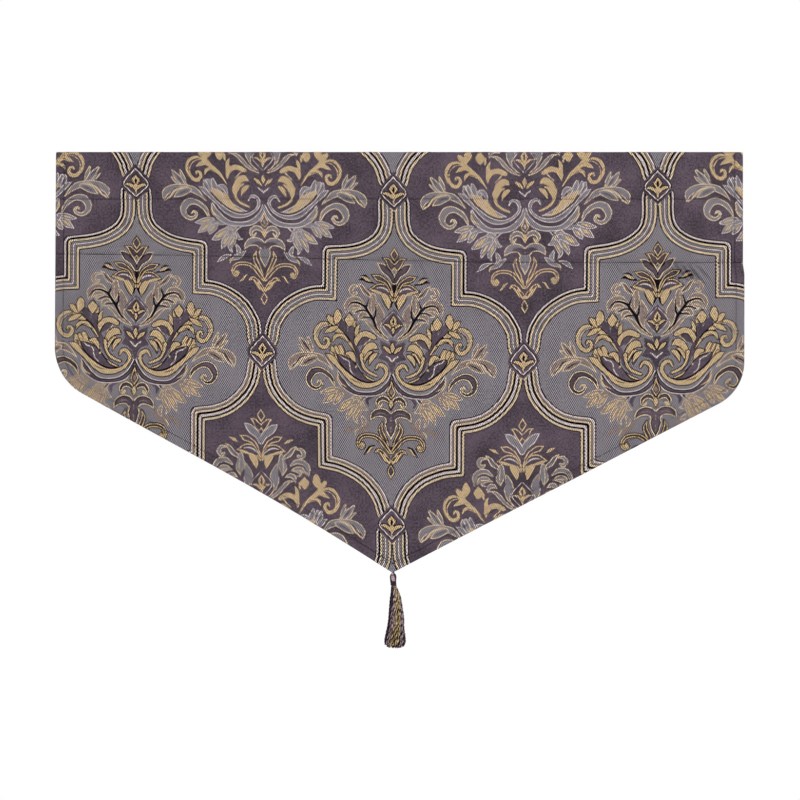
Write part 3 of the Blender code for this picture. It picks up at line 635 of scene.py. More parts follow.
POCKET_SLACK = 0.0095
POCKET_WAVE = 0.0008
POCKET_BULGE = 0.0004
PINCH = 0.0008
PINCH_BEHIND = 0.0002
PINCH_REACH = 0.0018
HEM_PUFF = 0.0004
HEM_PUFF_REACH = 0.0012
RELIEF_INSET = 0.001
DENT_INSET = 0.015
# Soft vertical folds below the pocket, as the middle, the width, the depth and the lean of each
FOLDS = (
    (-0.370, 0.085, -0.0030, 0.020), (-0.215, 0.075, 0.0028, 0.035), (-0.050, 0.080, -0.0042, 0.040),
    (0.120, 0.070, 0.0032, -0.020), (0.255, 0.070, -0.0040, -0.035), (0.390, 0.055, 0.0026, -0.010),
)
# Small puckers, most of them hanging aslant from the seam, as the middle, the height, the length, the width,
# the depth and the slope of each
PUCKERS = (
    (0.357, -0.156, 0.013, 0.0026, -0.0028, -0.95), (0.367, -0.158, 0.015, 0.0026, -0.0036, -0.95),
    (0.377, -0.160, 0.017, 0.0026, -0.0042, -0.92), (0.387, -0.162, 0.018, 0.0026, -0.0044, -0.90),
    (0.397, -0.162, 0.018, 0.0026, -0.0042, -0.88), (0.407, -0.160, 0.015, 0.0026, -0.0032, -0.85),
    (0.024, -0.155, 0.016, 0.0028, -0.0022, -1.25), (0.034, -0.157, 0.018, 0.0030, -0.0022, -1.10),
    (0.284, -0.156, 0.013, 0.0028, -0.0018, -0.95), (0.296, -0.158, 0.015, 0.0028, -0.0022, -0.90),
    (0.309, -0.157, 0.014, 0.0028, -0.0018, -0.90), (-0.245, -0.155, 0.018, 0.0060, -0.0012, 1.2),
    (-0.405, -0.160, 0.020, 0.0060, -0.0012, 1.3), (0.400, -0.012, 0.034, 0.0100, 0.0012, 0.03),
    (-0.300, -0.020, 0.050, 0.0080, 0.0009, -0.05), (0.150, -0.036, 0.060, 0.0090, -0.0009, 0.04),
    (-0.120, -0.100, 0.070, 0.0120, -0.0010, 0.03), (0.260, -0.108, 0.080, 0.0110, -0.0011, -0.03),
    (-0.330, -0.105, 0.060, 0.0110, 0.0009, 0.02), (0.432, -0.250, 0.040, 0.0070, -0.0012, 1.35),
    (-0.428, -0.235, 0.050, 0.0080, 0.0011, 1.5),
)


def smooth(share):
    """A share from 0 to 1, eased at both ends."""
    share = np.clip(share, 0, 1)
    return share * share * (3 - 2 * share)


def seam_z(x):
    """The height of the row of stitches under the rod pocket, which drops a little to the right."""
    return SEAM_Z - SEAM_DROP * smooth((x + 0.46) / 0.66)


def corner_arc(before, corner, after, radius, steps=14):
    """The points that round off a corner."""
    before, corner, after = Vector(before), Vector(corner), Vector(after)
    inwards, onwards = (before - corner).normalized(), (after - corner).normalized()
    half = inwards.angle(onwards) / 2
    centre = corner + (inwards + onwards).normalized() * radius / math.sin(half)
    start = corner + inwards * radius / math.tan(half) - centre
    end = corner + onwards * radius / math.tan(half) - centre
    turn = start.angle(end)
    arc = []
    for share in np.linspace(0, 1, steps + 1):
        swung = start * math.sin((1 - share) * turn) + end * math.sin(share * turn)
        arc.append(centre + swung / math.sin(turn))
    return arc


left_top, right_top = (-TOP_HALF_WIDTH, 0), (TOP_HALF_WIDTH, 0)
left_corner, right_corner = (-LOW_HALF_WIDTH, LEFT_CORNER_Z), (LOW_HALF_WIDTH, RIGHT_CORNER_Z)
# The right side is drawn in a little by the two rows of stitches, and steps out again below them
step_in, step_out = (TOP_HALF_WIDTH, -0.149), (LOW_HALF_WIDTH + 0.0002, -0.162)
front_edge = [
    left_top, *corner_arc(left_top, left_corner, POINT, LEFT_CORNER_RADIUS),
    POINT, *corner_arc(POINT, right_corner, step_out, RIGHT_CORNER_RADIUS), step_out, step_in, right_top,
]
heading_half = TOP_HALF_WIDTH - HEADING_INSET
heading_end = [(x, SEAM_ALLOWANCE - seam_z(x)) for x in np.linspace(heading_half, -heading_half, 25)]
edge = np.array([*front_edge, (heading_half, 0.015), *heading_end, (-heading_half, 0.015)], float)
hemmed = np.vstack([edge[-2:], edge[:len(front_edge) + 2]])
AT_ONCE = 8000


def edge_distance(points, run, closed=False):
    """How far each flat point is from a run of edges, positive inside, and which way that edge faces."""
    start = run if closed else run[:-1]
    along = (np.roll(run, -1, 0) if closed else run[1:]) - start
    square = (along**2).sum(1)
    facing = np.column_stack([along[:, 1], -along[:, 0]]) / np.sqrt(square)[:, None]
    distance, outwards = np.empty(len(points)), np.empty((len(points), 2))
    for first in range(0, len(points), AT_ONCE):
        part = points[first:first + AT_ONCE]
        apart = part[:, None] - start
        share = np.clip((apart * along).sum(2) / square, 0, 1)
        gap = apart - share[..., None] * along
        reach = (gap**2).sum(2)
        nearest = (reach + 1e-12 * np.abs((apart * facing).sum(2))).argmin(1)
        rows = np.arange(len(part))
        sign = -np.sign((apart[rows, nearest] * facing[nearest]).sum(1))
        distance[first:first + AT_ONCE] = np.sqrt(reach[rows, nearest]) * sign
        outwards[first:first + AT_ONCE] = facing[nearest]
    return distance, outwards


def inside_edge(points):
    """How far inside the cloth's edge each flat point is."""
    return edge_distance(points, edge, closed=True)[0]


def turned_over(points):
    """Flat points mirrored in the cloth's edge, and how far inside it they were."""
    inside, outwards = edge_distance(points, edge, closed=True)
    return points + 2 * inside[:, None] * outwards, inside


def pocket_fullness(x, z):
    """How full the rod pocket is between its two rows of stitches, from 0 to 1."""
    half = (HEADER_Z - seam_z(x)) / 2
    return np.maximum(1 - ((z - HEADER_Z + half) / half)**4, 0)


def front_y(x, z):
    """How far forward the front hangs."""
    seam = seam_z(x)
    fall = np.maximum((seam - z) / (seam - POINT[1]), 0)
    y = FRONT_Y - POCKET_BULGE * pocket_fullness(x, z)
    for middle, width, depth, lean in FOLDS:
        y += depth * fall * np.exp(-((x - middle - lean * fall) / width)**2)
    for middle, height, length, width, depth, slope in PUCKERS:
        along = ((x - middle) * math.cos(slope) + (z - height) * math.sin(slope)) / length
        beside = ((z - height) * math.cos(slope) - (x - middle) * math.sin(slope)) / width
        y += depth * np.exp(-along**2 - beside**2) * (1 - 1.2 * beside**2)
    return y


def stitch_pinch(x, z):
    """The shallow dents that the two rows of stitches pull into the cloth, from 0 to 1."""
    return np.exp(-((z - HEADER_Z) / PINCH_REACH)**2) + np.exp(-((z - seam_z(x)) / PINCH_REACH)**2)


def lower_lift(x, z):
    """How far the left slanting edge has curved up."""
    along = np.clip((x + LOW_HALF_WIDTH) / (POINT[0] + LOW_HALF_WIDTH), 0, 1)
    straight = LEFT_CORNER_Z + (POINT[1] - LEFT_CORNER_Z) * along
    return EDGE_LIFT * np.sin(math.pi * along**1.5) * smooth(1 - (z - straight) / LIFT_REACH)


def hung(flat, wrong_side, relief=0.0):
    """Where points of the flat cloth hang, on its right side or on its wrong side."""
    hem_gap = edge_distance(flat, hemmed)[0]
    rim = inside_edge(flat)
    thick = np.where(hem_gap < HEM_WIDTH, HEM, CLOTH)
    half = thick / 2
    curl = half - np.sqrt(np.maximum(half**2 - np.clip(half - rim, 0, half)**2, 0))
    depth = thick - curl if wrong_side else curl - relief * (rim > RELIEF_INSET)
    x, height = flat.T
    roll = ROLL + (HEM_ROLL - ROLL) * smooth((np.abs(x) - TOP_HALF_WIDTH + HEM_ROLL_WIDTH) / 0.0015)
    puff = HEM_PUFF * np.exp(-((hem_gap - HEM_WIDTH) / HEM_PUFF_REACH)**2) * (height < seam_z(x))
    y = front_y(x, height) + PINCH * stitch_pinch(x, height) + puff + depth
    z = height + lower_lift(x, height)
    # The roll over the top, and the heading behind it
    angle = np.clip((height + roll) / roll, 0, math.pi)
    over = height > -roll
    y = np.where(over, FRONT_Y + roll - (roll - depth) * np.cos(angle), y)
    z = np.where(over, -roll + (roll - depth) * np.sin(angle), z)
    behind = height > roll * (math.pi - 1)
    low = -(height - (math.pi - 2) * roll)
    slack = POCKET_SLACK + POCKET_WAVE * np.sin(2.5 * math.pi * x / TOP_HALF_WIDTH)
    dent = PINCH_BEHIND * stitch_pinch(x, low) * (hem_gap > DENT_INSET)
    back_y = front_y(x, low) + 2 * roll + slack * pocket_fullness(x, low) - dent - depth
    return np.column_stack([x, np.where(behind, back_y, y), np.where(behind, low, z)])


# The cloth's mesh is laid out flat, with the edges of the pattern in it, and only then hung. It has rows of
# points round its rim, these distances in, and across it, these distances from both rows of stitches.
BOUNDARY_STEP = 0.0045
RIMS = (0.00016, 0.0005, 0.0011)
PINCH_ROWS = (-0.0034, -0.0016, 0, 0.0016, 0.0034)
CLEAR_OF_EDGE = 0.0014
CLEAR_OF_RIMS = 0.0003
TURNED_REACH = 0.03
RIGHT_GRID = 0.010
WRONG_GRID = 0.012
# Where the puckers are sharp and the cloth needs a finer mesh, as left, right, bottom and top
CREASED = ((0.347, 0.422, -0.180, -0.149), (0.015, 0.044, -0.172, -0.148), (0.276, 0.320, -0.170, -0.149))
CREASED_GRID = 0.0018


def spaced(run, step):
    """A run of points cut into even pieces, with its own points kept."""
    pieces = []
    for start, end in zip(run, run[1:]):
        count = max(1, math.ceil(np.linalg.norm(end - start) / step))
        pieces.append(start + (end - start) * np.arange(count)[:, None] / count)
    return np.vstack([*pieces, run[-1:]])


def chained(run, closed=False):
    """A run of points as pairs."""
    ends = np.roll(run, -1, 0) if closed else run[1:]
    return np.stack([run if closed else run[:-1], ends], 1)


def laid_out(charts):
    """The edges of the pattern, laid all over the flat cloth and a little past it."""
    pairs_of = {ground: visible_edges(ground, charts, covers) for ground in charts}
    laid = []
    for place in cells:
        for mirror in (1, -1):
            laid.append(pairs_of[place.ground] * (mirror * SQUARE, SQUARE) + place.centre)
    laid = bowed(np.concatenate(laid))
    return laid[((laid > edge.min(0) - 0.02) & (laid < edge.max(0) + 0.02)).all((1, 2))]


def parts_between(pairs, gaps, least, most=math.inf):
    """The parts of pairs of points where a measure, known at their ends, lies between two values."""
    keep = (gaps.max(1) > least) & (gaps.min(1) < most)
    pairs, gaps = pairs[keep].copy(), gaps[keep].copy()
    for limit, is_past in ((least, np.less), (most, np.greater)):
        for near, far in ((0, 1), (1, 0)):
            past = is_past(gaps[:, near], limit)
            share = (gaps[past, far] - limit) / (gaps[past, far] - gaps[past, near])
            pairs[past, near] = pairs[past, far] + (pairs[past, near] - pairs[past, far]) * share[:, None]
            gaps[past, near] = limit
    return pairs


def cut_short(pairs, clearance):
    """Pairs of points with the parts taken off that are nearer to the cloth's edge than this."""
    return parts_between(pairs, inside_edge(pairs.reshape(-1, 2)).reshape(-1, 2), clearance)


def triangulated(pairs, points):
    """Flat triangles that hold all these pairs as edges, and lie inside the cloth's edge."""
    ends = pairs.reshape(-1, 2)
    flat = [Vector(p) for p in np.vstack([ends, points]) * 1000]
    joined = [(2 * k, 2 * k + 1) for k in range(len(pairs))]
    corners, _, faces, _, _, _ = geometry.delaunay_2d_cdt(flat, joined, [], 1, 0.01)
    return np.array([tuple(c) for c in corners]) / 1000, np.array(faces)


def grid(step):
    """Points all over the flat cloth, clear of its edge."""
    x, z = np.meshgrid(np.arange(-0.46, 0.46, step), np.arange(-0.56, 0.16, step))
    x[::2] += step / 2
    points = np.column_stack([x.ravel(), z.ravel()])
    for left, right, low, high in CREASED:
        x, z = np.meshgrid(np.arange(left, right, CREASED_GRID), np.arange(low, high, CREASED_GRID))
        points = np.vstack([points, np.column_stack([x.ravel(), z.ravel()])])
    return points[inside_edge(points) > 0.002]


def flat_behind(z):
    """Where the flat cloth has what hangs behind the front at this height."""
    return (math.pi - 2) * ROLL - z


boundary = spaced(np.vstack([edge, edge[:1]]), BOUNDARY_STEP)[:-1]
rim_pairs = [chained(boundary, closed=True)]
for inset in RIMS:
    rim_pairs.append(chained(grown(boundary, -inset), closed=True))

across = np.linspace(-TOP_HALF_WIDTH, TOP_HALF_WIDTH, 140)
rows = []
for from_row in PINCH_ROWS:
    for row_z in (np.full_like(across, HEADER_Z), seam_z(across)):
        rows += [row_z + from_row, flat_behind(row_z + from_row)]
rows += [np.full_like(across, share * ROLL) for share in np.linspace(-1, math.pi - 1, 7)]
crossing = cut_short(np.concatenate([chained(np.column_stack([across, z])) for z in rows]), CLEAR_OF_EDGE)

figure = laid_out(charts)
right_flat, right_faces = triangulated(
    np.concatenate([*rim_pairs, cut_short(figure, CLEAR_OF_RIMS), crossing]), grid(RIGHT_GRID),
)
right_yarn = yarn_at(right_flat[right_faces].mean(1), charts)

# On the wrong side, the turned hems show the right side of the cloth, as if it were mirrored in the edge.
# Between them and below the pocket is the back of the figure.
hem_rows = []
for inset in (HEM_WIDTH - 0.0002, HEM_WIDTH + 0.0002):
    hem_rows.append(chained(grown(boundary, -inset), closed=True))
turned, past = turned_over(figure.reshape(-1, 2))
turned, past = turned.reshape(-1, 2, 2), past.reshape(-1, 2)
beside = (np.abs(past) < TURNED_REACH).all(1) & (turned[..., 1] < HEM_TOP_Z).all(1)
turned = parts_between(turned[beside], -past[beside], CLEAR_OF_RIMS, HEM_WIDTH - 0.0004)
back_of_figure = laid_out(bold_charts)
below_seam = seam_z(back_of_figure[..., 0]) - SEAM_ALLOWANCE - back_of_figure[..., 1]
back_of_figure = cut_short(parts_between(back_of_figure, below_seam, 0), HEM_WIDTH + 0.0008)
wrong_flat, wrong_faces = triangulated(np.concatenate([
    *rim_pairs, crossing, cut_short(np.concatenate(hem_rows), CLEAR_OF_EDGE), turned, back_of_figure,
]), grid(WRONG_GRID))
middle = wrong_flat[wrong_faces].mean(1)
over_edge, inside = turned_over(middle)
# What the back of each yarn looks like, from the grey ground to the cream yarn
BACKS = np.array([GREY_BACK, PLUM_BACK, FIGURE_BACK, FIGURE_BACK, GREY_BACK, FIGURE_BACK, FIGURE_BACK])
wrong_yarn = np.where(middle[:, 1] < seam_z(middle[:, 0]), BACKS[yarn_at(middle, bold_charts)], GREY_BACK)
in_hem = (inside < HEM_WIDTH) & (middle[:, 1] < HEM_TOP_Z)
wrong_yarn[in_hem] = yarn_at(over_edge[in_hem], charts)

# The yarn of each vertex stands as far out as its highest face
RISE = {MAUVE: 0.0001, PALE: 0.00018, CREAM: 0.0002, GOLD: 0.00022}
relief = np.zeros(len(right_flat))
for yarn, rise in RISE.items():
    relief[right_faces[right_yarn == yarn]] = rise

# Both sides share the points of the cloth's edge, which closes the mesh
places = np.vstack([hung(right_flat, wrong_side=False, relief=relief), hung(wrong_flat, wrong_side=True)])
flat_all = np.vstack([right_flat, wrong_flat])
outer = {tuple(np.round(p * 1e6).astype(int)): k for k, p in enumerate(right_flat)}
wrong_index = len(right_flat) + np.arange(len(wrong_flat))
for k in np.flatnonzero(inside_edge(wrong_flat) < 1e-6):
    wrong_index[k] = outer[tuple(np.round(wrong_flat[k] * 1e6).astype(int))]
faces = np.vstack([right_faces, wrong_index[wrong_faces][:, ::-1]])
used, faces = np.unique(faces, return_inverse=True)
faces = faces.reshape(-1, 3)
places, flat_all = places[used], flat_all[used]

cloth_data = bpy.data.meshes.new("cloth")
cloth_data.from_pydata(places.tolist(), [], faces.tolist())
cloth_data.polygons.foreach_set("material_index", np.concatenate([right_yarn, wrong_yarn]))
cloth_data.shade_smooth()
layer = cloth_data.uv_layers.new(name="flat_cloth")
layer.data.foreach_set("uv", flat_all[faces.ravel()].ravel())

Yarn = namedtuple("Yarn", "name light shade dots flecks clouds roughness sheen specular ribs")
# Each yarn's light and shaded colour, and how strongly dots, flecks and slow clouds of them show
YARNS = (
    Yarn("grey_ground", (156, 150, 158), (24, 19, 26), 1.25, 0.65, 0.40, 0.66, 0.10, 0.20, 0.6),
    Yarn("plum_ground", (100, 84, 97), (18, 11, 19), 0.10, 0.60, 1.10, 0.52, 0.20, 0.16, 0.2),
    Yarn("gold_yarn", (238, 203, 148), (36, 16, 8), 2.60, 1.80, 0.10, 0.40, 0.20, 0.60, 0.9),
    Yarn("pale_yarn", (246, 230, 226), (50, 38, 46), 1.40, 1.10, 0.10, 0.54, 0.15, 0.20, 0.8),
    Yarn("dark_yarn", (24, 15, 22), (5, 2, 5), 0.10, 0.40, 0.10, 0.70, 0.00, 0.05, 0.3),
    Yarn("mauve_yarn", (160, 140, 132), (46, 36, 42), 0.90, 0.90, 0.10, 0.58, 0.15, 0.16, 0.6),
    Yarn("cream_yarn", (250, 224, 186), (48, 28, 22), 2.20, 1.50, 0.10, 0.46, 0.20, 0.40, 0.8),
    Yarn("back_of_grey", (142, 122, 114), (44, 36, 42), 0.30, 0.75, 0.25, 0.66, 0.10, 0.20, 0.9),
    Yarn("back_of_plum", (156, 148, 154), (78, 70, 78), 0.25, 0.50, 0.25, 0.60, 0.15, 0.30, 0.7),
    Yarn("back_of_figure", (92, 77, 88), (24, 16, 24), 0.25, 0.60, 0.15, 0.62, 0.10, 0.15, 0.9),
)
DOT_ACROSS = 0.0028
DOT_DOWN = 0.0047
RIB = 0.00075
PATCH = 0.016
FLECK = 0.0024
CLOUD = 0.045
DOT_STRENGTH = 8
FLECK_STRENGTH = 2.2


def dye(red, green, blue):
    """A colour as a screen shows it, from 0 to 255, as the shader wants it."""
    shares = (red / 255, green / 255, blue / 255)
    return (*(s / 12.92 if s < 0.0405 else ((s + 0.055) / 1.055)**2.4 for s in shares), 1)


def coloured(tree, shader, blend, shade, light):
    """Colours a shader from the shaded dye, where the blend is 0, to the light one, where it is 1."""
    colour = wire(tree, "ShaderNodeMix", {"Factor": blend, 6: dye(*shade), 7: dye(*light)}, data_type="RGBA")
    tree.links.new(colour.outputs[2], shader.inputs["Base Color"])


def roughened(tree, shader, by, low, high, relief, depth, strength):
    """Varies a shader's roughness between two values, and gives it a fine relief."""
    rough = wire(tree, "ShaderNodeMapRange", {"Value": by, "To Min": low, "To Max": high})
    tree.links.new(rough.outputs[0], shader.inputs["Roughness"])
    bump = wire(tree, "ShaderNodeBump", {"Strength": strength, "Distance": depth, "Height": relief})
    tree.links.new(bump.outputs[0], shader.inputs["Normal"])


def woven(yarn):
    """A yarn as it shows in the cloth: bound down in staggered dots, with flecks, clouds and fine ribs."""
    material, tree, shader = surface(yarn.name, yarn.roughness, sheen=yarn.sheen, specular=yarn.specular)
    place = wire(tree, "ShaderNodeUVMap", uv_map="flat_cloth").outputs[0]

    def math_of(operation, first, second, third=0.0):
        return wire(tree, "ShaderNodeMath", {0: first, 1: second, 2: third}, operation=operation).outputs[0]

    def bands(direction, pitch):
        wave = wire(tree, "ShaderNodeTexWave", {
            "Vector": place, "Scale": math.pi / 10 / pitch,
            "Distortion": 0.6, "Detail": 1.0, "Detail Scale": 2.0,
        }, bands_direction=direction)
        return math_of("SUBTRACT", wave.outputs["Fac"], 0.5)

    def mottle(size, detail):
        noise = wire(tree, "ShaderNodeTexNoise", {"Vector": place, "Scale": 1 / size, "Detail": detail})
        return math_of("SUBTRACT", noise.outputs["Fac"], 0.5)

    dots = math_of("MULTIPLY", bands("X", DOT_ACROSS), bands("Y", DOT_DOWN))
    patches = math_of("ADD", mottle(PATCH, 2.0), 0.5)
    blend = math_of("MULTIPLY_ADD", math_of("MULTIPLY", dots, patches), yarn.dots * DOT_STRENGTH, 0.5)
    blend = math_of("MULTIPLY_ADD", mottle(FLECK, 2.0), yarn.flecks * FLECK_STRENGTH, blend)
    blend = math_of("MULTIPLY_ADD", mottle(CLOUD, 3.0), yarn.clouds, blend)
    coloured(tree, shader, blend, yarn.shade, yarn.light)
    rib = math_of("MULTIPLY_ADD", bands("Y", RIB), yarn.ribs, blend)
    dull, bright = yarn.roughness + 0.1, yarn.roughness - 0.06
    roughened(tree, shader, blend, dull, bright, rib, depth=0.0003, strength=0.5)
    return material


for yarn in YARNS:
    cloth_data.materials.append(woven(yarn))
cloth = added("cloth", cloth_data)
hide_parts("panel", "heading")
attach(cloth, "root")


# The seams
# Rows of dark machine stitches: one under the header, one under the rod pocket, and one along the turned side
# and slanting hems. Each shows on both faces of the cloth.
STITCH = 0.0024
STITCH_PITCH = 0.0029
THREAD = 0.0013
THREAD_OUT = 0.42
HEM_STITCHES = 0.0112


def line_mesh(name, lines):
    """A mesh of lines alone, for a tree to follow."""
    data = bpy.data.meshes.new(name)
    edges, first = [], 0
    for line in lines:
        edges += [(first + k, first + k + 1) for k in range(len(line) - 1)]
        first += len(line)
    data.from_pydata(np.concatenate(lines).tolist(), edges, [])
    return data


def tree_of(name, **inputs):
    """A new tree that takes lines and these inputs and gives a mesh, and the sockets of what it takes."""
    tree = bpy.data.node_groups.new(name, "GeometryNodeTree")
    tree.interface.new_socket("Lines", in_out="INPUT", socket_type="NodeSocketGeometry")
    for label, kind in inputs.items():
        tree.interface.new_socket(label, in_out="INPUT", socket_type="NodeSocket" + kind)
    tree.interface.new_socket("Mesh", in_out="OUTPUT", socket_type="NodeSocketGeometry")
    return tree, wire(tree, "NodeGroupInput").outputs


def dyed_solid(tree, shape, material):
    """Ends a tree by making its shape real and giving it a material."""
    solid = wire(tree, "GeometryNodeRealizeInstances", {0: shape})
    dyed = wire(tree, "GeometryNodeSetMaterial", {"Geometry": solid.outputs[0], "Material": material})
    wire(tree, "NodeGroupOutput", {0: dyed.outputs[0]})


def stitch_tree():
    """A tree that sews a row of stitches along each line of a mesh."""
    tree, given = tree_of("machine_stitches", Pitch="Float", Stitch="Float", Thread="Float", Dye="Material")
    curve = wire(tree, "GeometryNodeMeshToCurve", {"Mesh": given["Lines"]})
    spots = wire(tree, "GeometryNodeCurveToPoints", {
        "Curve": curve.outputs[0], "Length": given["Pitch"],
    }, mode="LENGTH").outputs
    grain = wire(tree, "GeometryNodeMeshUVSphere", {"Segments": 6, "Rings": 4, "Radius": 0.5})
    size = wire(tree, "ShaderNodeCombineXYZ", {
        "X": given["Stitch"], "Y": given["Thread"], "Z": given["Thread"],
    })
    shaped = wire(tree, "GeometryNodeTransform", {"Geometry": grain.outputs[0], "Scale": size.outputs[0]})
    turn = wire(tree, "FunctionNodeAlignRotationToVector", {"Vector": spots["Tangent"]}, axis="X")
    row = wire(tree, "GeometryNodeInstanceOnPoints", {
        "Points": spots["Points"], "Instance": shaped.outputs[0], "Rotation": turn.outputs[0],
    })
    dyed_solid(tree, row.outputs[0], given["Dye"])
    return tree


def evaluated(name, data, tree, sizes):
    """The plain mesh object that a tree makes of some data."""
    holder = added(name, data)
    modifier = holder.modifiers.new(tree.name, "NODES")
    modifier.node_group = tree
    for item in tree.interface.items_tree:
        if item.in_out == "INPUT" and item.name in sizes:
            modifier[item.identifier] = sizes[item.name]
    graph = bpy.context.evaluated_depsgraph_get()
    plain = bpy.data.meshes.new_from_object(holder.evaluated_get(graph))
    holder.modifiers.clear()
    holder.data = plain
    closed = bmesh.new()
    closed.from_mesh(plain)
    bmesh.ops.recalc_face_normals(closed, faces=closed.faces)
    closed.to_mesh(plain)
    closed.free()
    plain.shade_smooth()
    return holder


def spun(name, light, shade, roughness):
    """A spun thread or yarn: unevenly dyed, with a fine relief of fibres and a soft sheen."""
    material, tree, shader = surface(name, roughness, sheen=0.1, specular=0.2)
    place = wire(tree, "ShaderNodeTexCoord").outputs["Object"]
    patches = wire(tree, "ShaderNodeTexNoise", {"Vector": place, "Scale": 380.0, "Detail": 3.0})
    uneven = wire(tree, "ShaderNodeMapRange", {
        "Value": patches.outputs["Fac"], "From Min": 0.3, "From Max": 0.7,
    })
    coloured(tree, shader, uneven.outputs[0], shade, light)
    noise = wire(tree, "ShaderNodeTexNoise", {"Vector": place, "Scale": 2400.0, "Detail": 2.0})
    fibres = noise.outputs["Fac"]
    roughened(tree, shader, fibres, roughness - 0.1, roughness + 0.15, fibres, depth=0.0002, strength=0.4)
    return material


def sewn(row, wrong_side, outwards):
    """A row of the flat cloth as a line on the hung cloth's surface, on its front at -1 and its back at 1."""
    return hung(row, wrong_side) + (0, outwards * THREAD * THREAD_OUT, 0)


rows_of_stitches = []
row_x = np.linspace(-TOP_HALF_WIDTH + 0.0006, TOP_HALF_WIDTH - 0.0012, 320)
for row_z in (np.full_like(row_x, HEADER_Z), seam_z(row_x)):
    rows_of_stitches.append(sewn(np.column_stack([row_x, row_z]), False, -1))
    rows_of_stitches.append(sewn(np.column_stack([row_x * 0.998, flat_behind(row_z)]), False, 1))
# The hem's row shows all along the front, below the pocket on the wrong side, and up the heading's two sides
hem_line = spaced(grown(boundary, -HEM_STITCHES), 0.003)
x, z = hem_line.T
rows_of_stitches.append(sewn(hem_line[z < -0.002], False, -1))
rows_of_stitches.append(sewn(hem_line[z < seam_z(x) - 0.007], True, 1))
for side in (-1, 1):
    rows_of_stitches.append(sewn(hem_line[(z > 0.004) & (z < 0.132) & (x * side > 0.44)], False, 1))

seam_thread = spun("seam_thread", (34, 24, 32), (6, 3, 6), 0.7)
stitches = evaluated("seam_stitches", line_mesh("seam_stitches", rows_of_stitches), stitch_tree(), {
    "Pitch": STITCH_PITCH, "Stitch": STITCH, "Thread": THREAD, "Dye": seam_thread,
})
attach(stitches, "root")


# The tassel
# Viscose yarn bunched over a knotted cord, tied round the neck with dark thread and cut level. The yarns of
# its outer layer are each spun of two plies. The cord loops up behind the point of the cloth, to which it is
# sewn.
TASSEL_X = -0.0084
TASSEL_Y = -0.0013
KNOB_TOP_Z = -0.5590
KNOB_HEIGHT = 0.0104
KNOB_RADIUS = 0.0045
KNOB_YARNS = 30
KNOB_SLANT = 0.7
BINDING_TOP_Z = -0.5684
BINDING_HEIGHT = 0.0076
BINDING_RADIUS = 0.0041
BINDING_THREAD = 0.0016
BINDING_TURNS = 5
BINDING_LEAN = 0.0006
SKIRT_END_Z = -0.6578
SKIRT_TURN = 0.55
# The skirt's radius, and how far its middle hangs to the right, from the neck at 0 to the ends at 1
SKIRT_SHAPE = np.array([
    (0, 0.0034, 0.0008), (0.02, 0.0043, 0.0011), (0.07, 0.0051, 0.0018), (0.15, 0.0068, 0.0028),
    (0.23, 0.0082, 0.0032), (0.39, 0.0097, 0.0036), (0.56, 0.0110, 0.0040), (0.72, 0.0122, 0.0030),
    (0.88, 0.0146, 0.0024), (0.94, 0.0153, 0.0022), (1, 0.0148, 0.0022),
])
CORE_YARNS = 150
CORE_SHARE = 0.84
GOLDEN_ANGLE = 2.39996
OUTER_YARNS = 78
OUTER_LAYERS = (1, 0.86)
YARN = 0.0012
PLY = 0.00092
PLY_TURN = 0.0105
LOOP_HALF_WIDTH = 0.0014
LOOP_BOTTOM_Z = -0.5605
LOOP_HEIGHT = 0.0165
LOOP_PLY = 0.00085
chance = np.random.default_rng(7)


def yarn_tree():
    """A tree that spins a round yarn along each line of a mesh."""
    tree, given = tree_of("spun_yarn", Thickness="Float", Sides="Int", Yarn="Material")
    half = wire(tree, "ShaderNodeMath", {0: given["Thickness"], 1: 0.5}, operation="MULTIPLY")
    curve = wire(tree, "GeometryNodeMeshToCurve", {"Mesh": given["Lines"]})
    ring = wire(tree, "GeometryNodeCurvePrimitiveCircle", {
        "Resolution": given["Sides"], "Radius": half.outputs[0],
    })
    swept = wire(tree, "GeometryNodeCurveToMesh", {
        "Curve": curve.outputs[0], "Profile Curve": ring.outputs[0], "Fill Caps": True,
    })
    dyed_solid(tree, swept.outputs[0], given["Yarn"])
    return tree


spun_yarn = yarn_tree()


def yarns(name, lines, thickness, sides, material):
    """Yarns of one thickness along these lines."""
    sizes = {"Thickness": thickness, "Sides": sides, "Yarn": material}
    return evaluated(name, line_mesh(name, lines), spun_yarn, sizes)


def joined(name, pieces):
    """One piece made of several, with all their materials."""
    whole = bmesh.new()
    data = bpy.data.meshes.new(name)
    for piece in pieces:
        first = len(whole.faces)
        whole.from_mesh(piece.data)
        whole.faces.ensure_lookup_table()
        for material in piece.data.materials:
            data.materials.append(material)
        for face in whole.faces[first:]:
            face.material_index += len(data.materials) - len(piece.data.materials)
        bpy.data.objects.remove(piece)
    whole.to_mesh(data)
    whole.free()
    data.shade_smooth()
    return added(name, data)


def twisted(line, radius, turns, start):
    """The line of one ply that winds about the line of its yarn."""
    ahead = unit(np.gradient(line, axis=0))
    aside = unit(np.cross(ahead, (0, 1, 0)))
    wind = (start + turns * np.linspace(0, 2 * math.pi, len(line)))[:, None]
    return line + radius * (np.cos(wind) * aside + np.sin(wind) * np.cross(ahead, aside))


def knob_lines():
    """Lines over the knob, from its crown to its neck, laid a little aslant."""
    fall = np.linspace(0.02, 1, 14)
    crown = np.sqrt(1 - (1 - np.minimum(fall / 0.6, 1))**2)
    radius = KNOB_RADIUS * crown * (1.04 - 0.14 * fall) - YARN * 0.35
    z = KNOB_TOP_Z - KNOB_HEIGHT * fall
    lines = []
    for turn in np.arange(KNOB_YARNS) * 2 * math.pi / KNOB_YARNS:
        angle = turn + KNOB_SLANT * fall
        x, y = TASSEL_X + radius * np.cos(angle), TASSEL_Y + radius * np.sin(angle)
        lines.append(np.column_stack([x, y, z]))
    return lines


